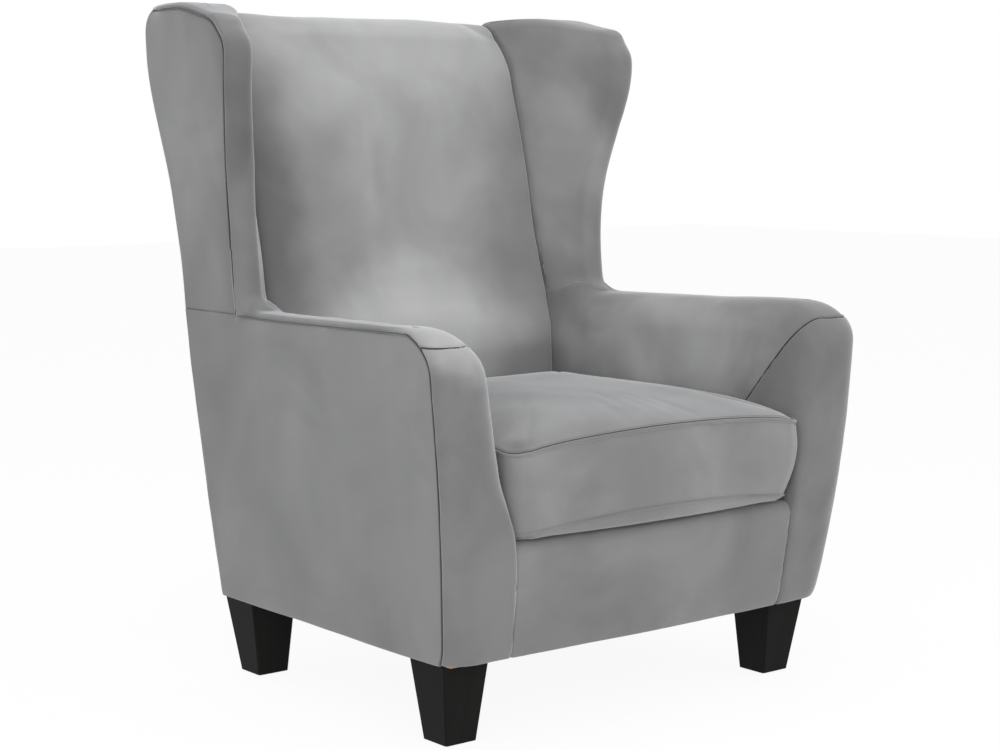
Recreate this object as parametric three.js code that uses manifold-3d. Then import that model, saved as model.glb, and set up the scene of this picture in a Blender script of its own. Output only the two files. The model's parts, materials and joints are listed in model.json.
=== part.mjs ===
// Wingback armchair with a loose seat cushion, in millimetres.
// +Z is up and the chair faces -Y. Left and right are those of the person who sits in it, so left is +X.
// The origin lies on the floor, under the middle of the chair. Every Y below is measured from there.

import * as THREE from 'three';
import { mergeVertices } from 'three/addons/utils/BufferGeometryUtils.js';
import Module from 'manifold-3d';

const wasm = await Module();
wasm.setup();

// Overall form
const bodyBottom = 120;          // underside of the upholstered body
const bodyHalfWidth = 357;       // half width of the body at its underside
const armTop = 568;              // crown of the arm where it meets the wing
const armRise = 10;              // how much higher the crown is at the front
const backHeight = 1020;         // top of the back between the wings
const wingOverBack = 6;          // the wings stand this much higher
const noseFront = 372.5;         // foremost line of the arm, in front of the middle
const noseLean = 31.5;           // it stands this far back at the foot of the arm
const backFoot = 253;            // rear face at its foot, behind the middle
const backTopRear = 387.7;       // rear face at the top of the back
const seamGap = 0.3;             // clearance between pieces that touch

// Arms
const flareStop = 115;           // this far ahead of the rear foot, the outer face starts to lean further
const armFlareRear = 9;          // the arm's outer face leans out this far at the rear
const armFlare = 40;             // and this much further at the front
const armFootWidth = 91;         // width of the arm at the seat deck
const innerLeanRear = 10;        // the inner face leans out this far at the rear
const innerLean = 52;            // and this far at the front
const innerSpread = 8;           // the front of the arm widens inward by this much at its foot
const armCorner = 60;            // the inner face turns in over this length to meet the back
const noseReach = 28;            // from the front outer seam to the foremost line of the arm
const noseWidth = 45;            // width of the rounded outer corner of the front
const noseInner = 44;            // width and depth of the rounded inner corner of the front
const noseInnerFoot = 3;         // the same below the cushion, where the front rail joins on
const crownOuter = 10;           // rounding of the arm's outer top edge
const crownInnerWidth = 56;      // rounding of the inner top edge, across
const crownInnerHeight = 52;     // and its height
const crownFrontDepth = 98;      // rounding of the top at the front, along the arm
const crownFrontHeight = 60;     // and its height
const footTuck = 10;             // the front's covers turn in this far at the underside
const footTuckSide = 2;          // and those of the sides this far
const footTuckHeight = 30;
const panelLip = 3;              // the outside panel's top edge stands this far up the outer rounding
const facingSeamDrop = 13;       // the facing's seam crosses the nose this far below the crown
const facingSeamSetBack = 32.5;  // it leaves the nose this far behind the foremost line
const facingSeamBendReach = 51.5; // the corner that its curve bends round, behind that line
const facingSeamBendDrop = 28;   // and below the crown
const facingSeamFootReach = 236.5; // it goes down behind the cushion this far behind that line
const armPadThickness = 24;
const armTopPad = 28;
const padUnderDeck = 25;         // the inside covers end this far below the seat deck's top

// Wings
const wingFlare = 33;            // how far the wing leans out above the arm
const wingWaistDepth = 61;       // from the waist of the outside wing's front seam to the rear foot
const wingWaistRise = 122;       // height of that waist above the arm
const wingLobeDepth = 103;       // the same two at the wing's widest point, which lies
const wingLobeDrop = 78;         // this far below the wing's top
const wingFootReach = 18;        // the seam comes forward again at the wing's foot
const wingNose = 24;             // half thickness of the wing's front edge
const wingNoseReach = 12;        // how far the front edge stands out past its seam
const wingFillet = 30;           // sweep of the wing's foot along the arm
const wingFilletHeight = 24;
const wingTopRound = 62;         // radius of the wing's front top corner
const wingTopInner = 22;         // rounding of the inner top edge, across
const wingTopOuter = 18;         // rounding of the outer top edge, across
const wingTopRear = 20;          // rounding of the rear top edge, along the chair
const wingTipLeast = 6;          // the nose still stands out this far at the very top

// Back
const backSeamInset = 4;         // the inside back's seam stands this far inside the arm's face
const backTaper = 26;            // and this much further inside at the top
const backDepth = 142;           // from the inside back to the rear face, at the arm's height
const backDepthTop = 92;         // the same at the top
const seatBackDepth = 67;        // thickness of the whole back behind the cushion, at its foot
const backCrown = 12;            // the inside back swells this much between its seams
const backCrownRise = 123;       // the swell begins this far above the deck, at the cushion's seam
const backCrownLength = 150;     // and is full this much higher
const backPad = 50;              // foam of the inside back
const backTopRound = 44;         // front rounding of the top edge
const backTopHeight = 34;        // height of both roundings of the top edge
const backLedge = 10;            // the foam over the top rail starts this far above its underside

// Seat
const deckTop = 287;             // top of the seat deck, under the cushion
const deckThickness = 14;
const frontPadDrop = 3;          // top of the padded front rail, below the deck's
const frontPadRound = 22;        // rounding of its top front edge
const frontPadDepth = 22;        // foam in front of the rail, at its foot
const frontPadLip = 10;          // how far the pad turns in over the rail
const frontPadSetBack = 4;       // its seam stands this far behind the nose at its top
const frontPadBulge = 5;
const cushionOverArm = 11;       // at the front it swells this far over the foot of the arm's face
const cushionRearInset = 4;      // and at the rear it stands this far inside it
const cushionSetBack = 5.5;      // its front corners stand this far behind the arms' foremost line
const cushionBow = 19.6;         // and the middle of its front this far ahead of the corners
const cushionBackGap = 14;       // from its rear seam to the inside back
const cushionCornerRadius = 26;  // plan radius of the corners
const cushionHeight = 168;       // from the underside to the top of the crown
const cushionSeamLow = 5;        // lower seam at the corners, above the underside
const cushionBoxing = 115;       // from the lower seam to the upper one
const cushionArch = 18;          // rise of both seams in the middle of the front
const cushionSideRise = 12;      // rise of the upper seam along the sides and the rear
const cushionUnder = 52;         // the flat underside starts this far inside the upper seam
const cushionRidge = 1.6;        // height of the seams over the cloth beside them
const cushionRidgeHalf = 3.5;    // half width of the same
const cushionBelly = 5;          // the boxing swells this much between its seams
const cushionPull = 5;           // and the sides draw in this much between the corners
const cushionBottomPull = 12;    // the lower seam stands this far inside the upper one
const coverThickness = 2.4;
const zipLength = 380;
const zipHeight = 7;

// Covers
const panelThickness = 7;        // outside panels: fabric over wadding and card
const rearPanel = 5;
const dustThickness = 1.4;
const dustMargin = 22;           // the dust cover stops this far inside the body at the sides

// Timber
const railThickness = 25;
const railHeight = 92;
const postThickness = 24;
const armRailThickness = 22;
const armRailWidth = 46;
const tuckRailThickness = 20;
const tuckRailHeight = 34;
const springRailHeight = 60;
const springRailSetBack = 10;    // the rail that holds the springs stands this far behind the inside back
const topRailHeight = 55;
const backPostWidth = 34;
const backPostDepthLeast = 44;
const backPostDrop = 35;         // the back posts end this far below the back's top
const wingBoard = 16;            // plywood sides that carry the wings
const wingBoardInset = 16;       // the board stops this far inside the wing's seam
const blockSide = 92;
const blockNose = 13;
const blockHeight = 36;

// Legs
const legTopSide = 79;
const legFootSide = 53;
const legLean = 3.6;             // the top's middle stands this far outside the foot's
const legInset = 23.5;           // a leg's outer face at the floor stands this far inside the body's foot
const legFrontInset = 51;        // the same for the front legs, from the front
const legRearInset = 14.5;       // and for the rear legs, from the rear
const legChamfer = 2.5;
const glideRadius = 13;
const glideHeight = 3;
const glidePin = 2;
const glidePinLength = 16;
const boltRadius = 4;
const boltIntoLeg = 42;
const boltIntoBlock = 34;
const boltClearance = 0.4;
const boltShift = 20;            // the bolt stands this far inward of the leg's middle, both ways

// Suspension
const springCount = 5;
const springWire = 1.9;          // radius of the wire
const springMargin = 74;         // the outer springs' middles stand this far inside the arms' faces
const springHalfWidth = 24;
const springRoom = 27;           // height between the rails and the deck, for the springs
const springLoops = 9;
const springArch = 20;           // the loaded arch of the springs, close under the deck
const springSetBack = 14;        // the springs start this far behind the front rail's face
const strapCount = 3;
const strapWidth = 48;
const strapThickness = 2;
const strapRise = 133;           // middle of the lowest strap, above the seat deck
const strapDrop = 205;           // and of the highest, below the back posts' top
const strapMargin = 6;           // the straps stop this far inside the posts' outer faces
const dustMarginFront = 6;       // and this far inside the rails at the front and the rear

const overrun = 60;              // cuts run past what they cut by this much

// Shares of a length, and counts of facets
const armBowShare = 0.25;        // how much the outer face bows outward
const backBowShare = 0.48;       // how much the rake eases toward the top
const noseFullShare = 0.725;     // height share of the arm at which the front stands out fully
const wingLobePower = 1.3;
const archPower = 2;
const backPower = 4;
const backShares = [0.4, 0.7, 0.87, 1];
const postSteps = 4;
const springFacets = 6;
const sideShares = [0.3, 0.5, 0.7, 0.87, 1];
const turnSteps = 4;
const cornerSteps = 4;
const archSteps = 8;
const wingSteps = 6;
const backSteps = 10;
const wireSides = 5;
const roundSides = 14;
const roundShares = [0.31, 0.59, 0.81, 0.95, 1];
const footShares = [0.1, 0.35, 1];
const nosePlumpShare = 0.25;     // the nose is fully round this share of the way up from the cushion
const bodyShares = [0.22, 0.42, 0.62, 0.82, 1];
const crownShares = [0.94, 0.82, 0.6, 0.3];
const crownPower = 4;
const bellyShares = [0.33, 0.67];
const underShare = 0.35;

// Sizes that follow from these
const wingHeight = backHeight + wingOverBack;
const wingWaistZ = armTop + wingWaistRise;
const wingWaistY = backFoot - wingWaistDepth;
const wingLobeZ = wingHeight - wingLobeDrop;
const wingLobeY = backFoot - wingLobeDepth;
const noseFoot = noseFront - noseLean;
const flareEnd = backFoot - flareStop;
const innerFoot = bodyHalfWidth - armFootWidth;
const facingSeamTop = armTop - facingSeamDrop;
const facingSeamY = facingSeamSetBack - noseFront;
const facingSeamBend = [facingSeamBendReach - noseFront, armTop - facingSeamBendDrop];
const facingSeamFootY = facingSeamFootReach - noseFront;
const padBottom = deckTop - padUnderDeck;
const backSeamLow = innerFoot - backSeamInset;
const backSeamHigh = backSeamLow - backTaper;
const seatBackY = backFoot - seatBackDepth;
const backCrownFrom = deckTop + backCrownRise;
const backPostTop = backHeight - backPostDrop;
const frontPadHeight = deckTop - frontPadDrop;
const cushionHalfWidth = innerFoot + cushionOverArm;
const cushionRearHalfWidth = innerFoot - cushionRearInset;
const cushionCorner = noseFront - cushionSetBack;
const cushionRear = seatBackY - cushionBackGap;
const legOuter = bodyHalfWidth - legInset;
const legFrontY = noseFoot - legFrontInset;
const legRearY = backFoot - legRearInset;

const clamp = (t) => Math.min(1, Math.max(0, t));
const smooth = (t) => clamp(t) ** 2 * (3 - 2 * clamp(t));
const mix = (a, b, t) => a + (b - a) * t;
const quarter = (t) => 1 - Math.sqrt(1 - clamp(t) ** 2);
const steps = (n) => Array.from({ length: n + 1 }, (_, i) => i / n);

// Finishes
const velvet = { color: '#8b8c8f', roughness: 0.75, metalness: 0 };
const panelCloth = { color: '#838487', roughness: 0.78, metalness: 0 };
const lining = { color: '#3a3b3d', roughness: 0.95, metalness: 0 };
const foam = { color: '#d9d2b8', roughness: 0.95, metalness: 0 };
const timber = { color: '#b98f5c', roughness: 0.7, metalness: 0 };
const blackWood = { color: '#1f1d1b', roughness: 0.42, metalness: 0 };
const steel = { color: '#8f9398', roughness: 0.35, metalness: 1 };
const webbing = { color: '#50483c', roughness: 0.9, metalness: 0 };
const nylon = { color: '#3b3c3e', roughness: 0.5, metalness: 0 };

// Solids

function solidOf(geometry) {
  const bare = geometry.clone();
  for (const name of Object.keys(bare.attributes)) {
    if (name !== 'position') bare.deleteAttribute(name);
  }
  const merged = mergeVertices(bare);
  return new wasm.Manifold(new wasm.Mesh({
    numProp: 3,
    vertProperties: new Float32Array(merged.attributes.position.array),
    triVerts: new Uint32Array(merged.index.array),
  }));
}

function geometryFrom(solid) {
  const mesh = solid.getMesh();
  const geometry = new THREE.BufferGeometry();
  geometry.setAttribute('position', new THREE.Float32BufferAttribute(mesh.vertProperties, 3));
  geometry.setIndex(new THREE.Uint32BufferAttribute(mesh.triVerts, 1));
  geometry.computeVertexNormals();
  return geometry;
}

function volumeOf(points, faces) {
  const corner = faces.map((face) => face.map((i) => new THREE.Vector3(...points[i])));
  return corner.reduce((sum, [p, q, r]) => sum + p.dot(q.clone().cross(r)) / 6, 0);
}

// A closed body through rings of points. Flat caps are cut to the ring's plan, round ones are fans.
function loft(given, fan = false) {
  const plan = (ring) => ring.map((p) => new THREE.Vector2(p[0], p[1]));
  const clockwise = !fan && THREE.ShapeUtils.area(plan(given[0])) < 0;
  const rings = clockwise ? given.map((ring) => [...ring].reverse()) : given;
  const n = rings[0].length;
  const faces = [];
  for (let k = 0; k + 1 < rings.length; k += 1) {
    for (let i = 0; i < n; i += 1) {
      const j = (i + 1) % n;
      faces.push([k * n + i, k * n + j, (k + 1) * n + j]);
      faces.push([k * n + i, (k + 1) * n + j, (k + 1) * n + i]);
    }
  }
  const fanned = Array.from({ length: n - 2 }, (_, i) => [0, i + 1, i + 2]);
  const cap = (ring) => (fan ? fanned : THREE.ShapeUtils.triangulateShape(plan(ring), []));
  const last = (rings.length - 1) * n;
  cap(rings[0]).forEach(([a, b, c]) => faces.push([a, c, b]));
  cap(rings.at(-1)).forEach((face) => faces.push(face.map((i) => i + last)));
  const points = rings.flat();
  const outward = volumeOf(points, faces) > 0 ? faces : faces.map(([a, b, c]) => [a, c, b]);
  const geometry = new THREE.BufferGeometry();
  geometry.setAttribute('position', new THREE.Float32BufferAttribute(points.flat(), 3));
  geometry.setIndex(outward.flat());
  return solidOf(geometry);
}

function box(low, high) {
  const size = high.map((v, i) => v - low[i]);
  const geometry = new THREE.BoxGeometry(...size);
  geometry.translate(...low.map((v, i) => v + size[i] / 2));
  return solidOf(geometry);
}

function rod(x, y, low, high, radius) {
  const geometry = new THREE.CylinderGeometry(radius, radius, high - low, roundSides);
  geometry.rotateX(Math.PI / 2);
  geometry.translate(x, y, (low + high) / 2);
  return solidOf(geometry);
}

// An outline grown by a clearance on every side, with mitred corners
function grownOutline(outline, by) {
  const sign = Math.sign(THREE.ShapeUtils.area(outline.map((p) => new THREE.Vector2(...p))));
  const n = outline.length;
  const normal = (from, to) => {
    const along = new THREE.Vector2(to[0] - from[0], to[1] - from[1]).normalize();
    return [along.y * sign, -along.x * sign];
  };
  return outline.map((p, i) => {
    const u = normal(outline[(i + n - 1) % n], p);
    const v = normal(p, outline[(i + 1) % n]);
    const k = by / (1 + u[0] * v[0] + u[1] * v[1]);
    return [p[0] + k * (u[0] + v[0]), p[1] + k * (u[1] + v[1])];
  });
}

// A board cut to an outline. The plane names the outline's two axes, and it reaches across the third.
function board(outline, plane, from, to, grow = 0) {
  const place = {
    xy: (p, q, w) => [p, q, w],
    yz: (p, q, w) => [w, p, q],
    xz: (p, q, w) => [p, w, q],
  }[plane];
  const edge = grownOutline(outline, grow);
  const flat = edge.map((p) => new THREE.Vector2(...p));
  const n = edge.length;
  const points = [from - grow, to + grow].flatMap((w) => edge.map((p) => place(...p, w)));
  const faces = [];
  for (let i = 0; i < n; i += 1) {
    const j = (i + 1) % n;
    faces.push([i, j, n + j], [i, n + j, n + i]);
  }
  const ccw = THREE.ShapeUtils.area(flat) > 0;
  const order = ccw ? flat : [...flat].reverse();
  const index = (i) => (ccw ? i : n - 1 - i);
  for (const face of THREE.ShapeUtils.triangulateShape(order, [])) {
    const [a, b, c] = face.map(index);
    faces.push(ccw ? [a, c, b] : [a, b, c]);
    faces.push(ccw ? [a + n, b + n, c + n] : [a + n, c + n, b + n]);
  }
  const outward = volumeOf(points, faces) > 0 ? faces : faces.map(([a, b, c]) => [a, c, b]);
  const geometry = new THREE.BufferGeometry();
  geometry.setAttribute('position', new THREE.Float32BufferAttribute(points.flat(), 3));
  geometry.setIndex(outward.flat());
  return solidOf(geometry);
}

// A wire bent through points that lie nearly level
function wire(points, radius) {
  const rings = points.map((p, i) => {
    const before = points[Math.max(0, i - 1)];
    const after = points[Math.min(points.length - 1, i + 1)];
    const along = new THREE.Vector3(...after).sub(new THREE.Vector3(...before)).normalize();
    const across = new THREE.Vector3(0, 0, 1).cross(along).normalize();
    const rise = along.clone().cross(across);
    return steps(wireSides).slice(1).map((t) => {
      const angle = 2 * Math.PI * t;
      const point = new THREE.Vector3(...p).addScaledVector(across, radius * Math.cos(angle));
      return point.addScaledVector(rise, radius * Math.sin(angle)).toArray();
    });
  });
  return loft(rings, true);
}

const cut = (solid, ...tools) => tools.reduce((left, tool) => left.subtract(tool), solid);
const mirrored = (solid) => solid.mirror([1, 0, 0]);

// The surfaces of the chair's left half. Heights on the arm are taken under a level crown,
// and lifted then raises them to the real one.

const foreShare = (y) => clamp((flareEnd - y) / (flareEnd + noseFront));
const crownAt = (y) => armTop + armRise * smooth(foreShare(y));
const lifted = (y, z) => z + (crownAt(y) - armTop) * (z - bodyBottom) / (armTop - bodyBottom);

// The level that stands at a given real height
const settled = (y, z) => bodyBottom + (z - bodyBottom) * (armTop - bodyBottom) / (crownAt(y) - bodyBottom);

// Outer face of the arm and the wing
function outerX(y, z) {
  const h = clamp((z - bodyBottom) / (armTop - bodyBottom));
  const bow = h * (1 + armBowShare * (1 - h));
  const wing = smooth((z - armTop) / (wingLobeZ - armTop)) ** 2;
  const tuck = footTuckSide * quarter(1 - (z - bodyBottom) / footTuck);
  return bodyHalfWidth + (armFlareRear + armFlare * foreShare(y)) * bow + wingFlare * wing - tuck;
}

// Half width of the inside back: its seam against the arm and the wing
const seamX = (z) => mix(backSeamLow, backSeamHigh, clamp((z - deckTop) / (backHeight - deckTop)));

// Rear face of the chair, raked and slightly hollow
function rearY(z) {
  const h = (z - bodyBottom) / (backHeight - bodyBottom);
  return backFoot + (backTopRear - backFoot) * h * (1 + backBowShare * (1 - h));
}

// Inside back along its seams, upright behind the cushion and raked above
function insideY(z) {
  const t = clamp((z - armTop) / (backHeight - armTop));
  return Math.max(seatBackY, rearY(z) - mix(backDepth, backDepthTop, t * (1 + backBowShare * (1 - t))));
}

// Inner face of the arm, which turns in to meet the inside back
function innerX(y, z) {
  const h = clamp((z - padBottom) / (armTop - padBottom));
  const spread = innerSpread * clamp((padBottom - z) / (padBottom - bodyBottom));
  const face = innerFoot - spread + mix(innerLeanRear, innerLean, foreShare(y)) * h;
  return mix(face, seamX(z), smooth((y - insideY(z) + armCorner) / armCorner));
}

// Foremost line of the arm and of the front rail
function noseY(z) {
  const h = clamp((z - bodyBottom) / ((armTop - bodyBottom) * noseFullShare));
  const lean = (noseFront - noseFoot) * Math.sin(h * Math.PI / 2);
  return footTuck * quarter(1 - (z - bodyBottom) / footTuckHeight) - noseFoot - lean;
}

// Front seam of the outside arm panel, rounded over at the top of the arm
const armFrontRound = (z) => crownFrontDepth * quarter((z - armTop + crownFrontHeight) / crownFrontHeight);
const armSeamY = (z) => noseY(z) + noseReach + armFrontRound(z);

// Front seam of the outside wing panel
function wingSeamY(z) {
  const up = smooth((z - wingWaistZ) / (wingLobeZ - wingWaistZ));
  const foot = clamp((wingWaistZ - z) / (wingWaistZ - armTop));
  const top = wingTopRound * quarter((z - wingLobeZ) / wingTopRound);
  return mix(wingWaistY, wingLobeY, up ** wingLobePower) - wingFootReach * foot * foot + top;
}

// The wing's inner face runs straight in plan, from the front edge to the seam of the inside back
const wingInnerX = (z) => outerX(wingSeamY(z), z) - 2 * wingNose;
function wingFaceX(y, z) {
  const from = wingSeamY(z);
  return mix(wingInnerX(z), seamX(z), clamp((y - from) / (insideY(z) - from)));
}

// Rounding of the arm's inner top edge, which ends flush under the wing
function crownInnerAt(y, z) {
  const under = Math.max(0, wingFaceX(y, armTop) - innerX(y, armTop));
  const full = y < wingSeamY(armTop) ? crownInnerWidth : Math.min(under, crownInnerWidth);
  return full * quarter((z - armTop + crownInnerHeight) / crownInnerHeight);
}

// A value that runs straight between the levels of a lofted piece, as the piece itself does
const along = (levels, value) => (z) => {
  const k = Math.max(1, levels.findIndex((level, i) => level >= z || i === levels.length - 1));
  const [low, high] = [levels[k - 1], levels[k]];
  return mix(value(low), value(high), (z - low) / (high - low));
};

// Levels at which a lofted piece has its rings

const footLevels = [bodyBottom, ...footShares.map((t) => bodyBottom + footTuckHeight * t)];
const armFull = armTop - crownFrontHeight;
const armLevels = [
  ...footLevels,
  ...bodyShares.map((t) => mix(footLevels.at(-1), armFull, t)),
  ...roundShares.map((t) => armFull + crownFrontHeight * t),
];
const wingBottom = armTop + 2 * seamGap;
const panelTop = armTop - crownOuter + panelLip;
const topRailLow = backPostTop - topRailHeight;
const backLedgeAt = topRailLow + backLedge;
const backLevels = [
  bodyBottom,
  mix(bodyBottom, padBottom, 1 / 2),
  ...steps(backSteps).map((t) => mix(padBottom, backLedgeAt, t)),
  backPostTop,
];

// The back of the inside back's foam, and the faces of the back posts
const foamRear = along(backLevels, (z) => insideY(z) + backPad);
const backPostRear = along(backLevels, (z) => rearY(z) - rearPanel - seamGap);
const backPostFace = along(backLevels, (z) => Math.min(
  insideY(z) + backPad + strapThickness + 2 * seamGap,
  rearY(z) - rearPanel - seamGap - backPostDepthLeast,
));
const wingPanelTop = wingLobeZ + wingTopRound;
const wingLevels = [
  ...steps(wingSteps).map((t) => mix(wingBottom, wingLobeZ, t)),
  ...roundShares.map((t) => wingLobeZ + wingTopRound * t),
];

// Places along the side at which every lofted piece has its corners, so that neighbours fit each other
const armStations = () => sideShares.map((t) => mix(-noseFront, flareEnd, t));
const wingStations = (z) => [mix(wingSeamY(z), rearY(z), 1 / 2)];

// A closed strip in plan between two faces, stacked over the given levels
function strip({ near, far, from, to, levels, stations = armStations, lean = false }) {
  return loft(levels.map((z) => {
    const ys = [from(z), ...stations(z), to(z)];
    const place = (face) => (y) => [face(y, z), y, lean ? lifted(y, z) : z];
    return [...ys.map(place(near)), ...ys.reverse().map(place(far))];
  }));
}

// Arm

// The whole arm from the front to the inside back, rounded over its top and its front
function armBody() {
  const ring = (z) => {
    const front = noseY(z) + armFrontRound(z);
    const rear = insideY(z) + armPadThickness;
    const outer = (y) => outerX(y, z) - crownOuter * quarter((z - armTop + crownOuter) / crownOuter);
    const inner = (y) => innerX(y, z) + crownInnerAt(y, z);
    const width = outer(front) - inner(front);
    const fullness = smooth((z - frontPadHeight) / (armFull - frontPadHeight) / nosePlumpShare);
    const outerRound = Math.min(noseWidth, width / 2);
    const innerRound = Math.min(mix(noseInnerFoot, noseInner, fullness), width / 2 - noseInnerFoot);
    const sides = [rear, ...armStations().reverse(), front + noseReach].map((y) => [outer(y), y]);
    const outerArc = steps(cornerSteps).slice(1).map((t) => {
      const y = front + noseReach * (1 - Math.sin(t * Math.PI / 2));
      return [outer(y) - outerRound * (1 - Math.cos(t * Math.PI / 2)), y];
    });
    const innerArc = steps(cornerSteps).map((t) => {
      const y = front + innerRound * (1 - Math.cos(t * Math.PI / 2));
      return [inner(y) + innerRound * (1 - Math.sin(t * Math.PI / 2)), y];
    });
    const turn = insideY(z) - armCorner;
    const round = steps(turnSteps).map((t) => mix(turn, insideY(z), t));
    const ahead = armStations().filter((y) => y < seatBackY - armCorner);
    const inside = [...ahead, ...round].map((y) => [inner(y), y]);
    const all = [...sides, ...outerArc, ...innerArc, ...inside, [seamX(z), rear]];
    return all.map(([x, y]) => [x, y, lifted(y, z)]);
  };
  return loft(armLevels.map(ring));
}

const postFrontY = frontPadDepth - noseFoot;
const beyond = () => backTopRear + overrun;
const panelInner = (y, z) => outerX(y, z) - panelThickness;

// The room inside an arm, open towards the outside panel and downward
function armHollow() {
  const top = armTop - armTopPad;
  const turns = (z) => steps(turnSteps).map((t) => insideY(z) - armCorner * (1 - t));
  return strip({
    near: (y, z) => innerX(y, z) + armPadThickness,
    far: (y, z) => outerX(y, z) + overrun,
    from: () => postFrontY - seamGap,
    to: beyond,
    levels: [bodyBottom - overrun, ...armLevels.filter((z) => z < top - seamGap), top],
    stations: (z) => [...armStations().slice(0, -1), ...turns(z)],
    lean: true,
  });
}

// The room that the outside arm panel takes
const armPanelRoom = () => strip({
  near: (y, z) => panelInner(y, z) - seamGap,
  far: (y, z) => outerX(y, z) + overrun,
  from: armSeamY,
  to: beyond,
  levels: [bodyBottom - overrun, ...armLevels.filter((z) => z < panelTop), panelTop + seamGap],
  lean: true,
});

const outsideArm = () => strip({
  near: panelInner,
  far: outerX,
  from: (z) => armSeamY(z + seamGap) + seamGap,
  to: backPostRear,
  levels: [...armLevels.filter((z) => z < panelTop), panelTop],
  lean: true,
});

// The part of the chair in front of the facing seam, seen from the side
function facingRegion(grow = 0) {
  const front = -(noseFront + overrun);
  const curve = new THREE.QuadraticBezierCurve(
    new THREE.Vector2(facingSeamY, facingSeamTop),
    new THREE.Vector2(...facingSeamBend),
    new THREE.Vector2(facingSeamFootY, padBottom),
  );
  const outline = [
    [front, facingSeamTop],
    ...curve.getPoints(archSteps).map((p) => [p.x, p.y]),
    [facingSeamFootY, bodyBottom - overrun],
    [front, bodyBottom - overrun],
  ];
  return board(outline, 'yz', 0, bodyHalfWidth + armFlare + overrun, grow);
}

// Everything behind the front posts and below the arm's inner padding
const underArm = () => box(
  [0, postFrontY - seamGap, bodyBottom - overrun],
  [bodyHalfWidth + armFlare + overrun, backTopRear + overrun, padBottom],
);

const armFacing = () => cut(armBody().intersect(facingRegion()), armHollow(), armPanelRoom(), underArm());

const armPad = () => cut(
  armBody(),
  facingRegion(seamGap),
  armHollow(),
  armPanelRoom(),
  underArm(),
  wingPanelRoom(),
  wingFrame(seamGap),
);

// Timber

const wallAt = (y, z) => innerX(y, settled(y, z)) + armPadThickness + seamGap;
const panelAt = (y, z) => panelInner(y, settled(y, z)) - seamGap;
const armRailTop = armTop - armTopPad - seamGap;
const armRailLow = armRailTop - armRailThickness;
const sideRailInner = bodyHalfWidth - footTuckSide - panelThickness - 2 * seamGap - railThickness;
const sideRailTop = bodyBottom + railHeight;
const backPostOuter = outerX(backFoot, sideRailTop) - panelThickness - wingBoard - 3 * seamGap;
const backPostInner = backPostOuter - backPostWidth;
const postRear = postFrontY + postThickness + seamGap;

function armPost() {
  const heights = steps(postSteps).map((t) => mix(bodyBottom, armRailLow - seamGap, t));
  const outline = [
    ...heights.map((z) => [panelAt(postRear, z), z]),
    ...heights.reverse().map((z) => [wallAt(postFrontY, z), z]),
  ];
  return board(outline, 'xz', postFrontY, postFrontY + postThickness);
}

function backPost(grow = 0) {
  const heights = backLevels.filter((z) => z <= backPostTop);
  const outline = [
    ...heights.map((z) => [backPostFace(z), z]),
    ...heights.reverse().map((z) => [backPostRear(z), z]),
  ];
  return board(outline, 'yz', backPostInner, backPostOuter, grow);
}

function armRail() {
  const ys = [postFrontY, ...armStations(), backPostFace(armRailLow) - seamGap];
  const face = (y) => panelAt(y, armRailLow);
  const far = ys.map((y) => [face(y), y]);
  const outline = [...far, ...far.map(([x, y]) => [x - armRailWidth, y]).reverse()];
  return board(outline, 'xy', armRailLow, armRailTop);
}

function armTuckRail() {
  const top = padBottom + tuckRailHeight;
  const turn = seatBackY - armCorner;
  const face = (y) => innerX(Math.min(y, turn), top) + armPadThickness + seamGap;
  const rear = backPostFace(padBottom) - 2 * seamGap;
  const ys = [postRear, ...armStations().filter((y) => y < turn), turn, rear];
  const near = ys.map((y) => [face(y), y]);
  const outline = [...near, ...near.map(([x, y]) => [x + tuckRailThickness, y]).reverse()];
  return board(outline, 'xy', padBottom, top);
}

function sideRail() {
  const outline = [
    [postRear, bodyBottom],
    [backPostFace(bodyBottom) - seamGap, bodyBottom],
    [backPostFace(sideRailTop) - seamGap, sideRailTop],
    [postRear, sideRailTop],
  ];
  return board(outline, 'yz', sideRailInner, sideRailInner + railThickness);
}

const frontRailEnd = wallAt(postFrontY, bodyBottom) - 2 * seamGap;
const frontRailTop = deckTop - deckThickness - springRoom;
const frontRail = () => box(
  [-frontRailEnd, postFrontY, bodyBottom],
  [frontRailEnd, postFrontY + railThickness, frontRailTop],
);

// A rail between the back posts that follows the rear face
const rearRailEnd = backPostInner - seamGap;
function rearRail(low, high, grow = 0) {
  const outline = [
    [backPostRear(low), low],
    [backPostRear(high), high],
    [backPostRear(high) - railThickness, high],
    [backPostRear(low) - railThickness, low],
  ];
  return board(outline, 'yz', -rearRailEnd, rearRailEnd, grow);
}

const backRail = () => rearRail(bodyBottom, sideRailTop);
const backTopRail = (grow = 0) => rearRail(topRailLow, backPostTop, grow);

const tuckRailY = seatBackY + backPad + seamGap;
const backTuckRail = () => box(
  [-rearRailEnd, tuckRailY, padBottom],
  [rearRailEnd, tuckRailY + tuckRailThickness, padBottom + tuckRailHeight],
);

const springRailFace = seatBackY + springRailSetBack;
const springRail = () => box(
  [-rearRailEnd, springRailFace, frontRailTop - springRailHeight],
  [rearRailEnd, springRailFace + railThickness, frontRailTop],
);

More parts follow.
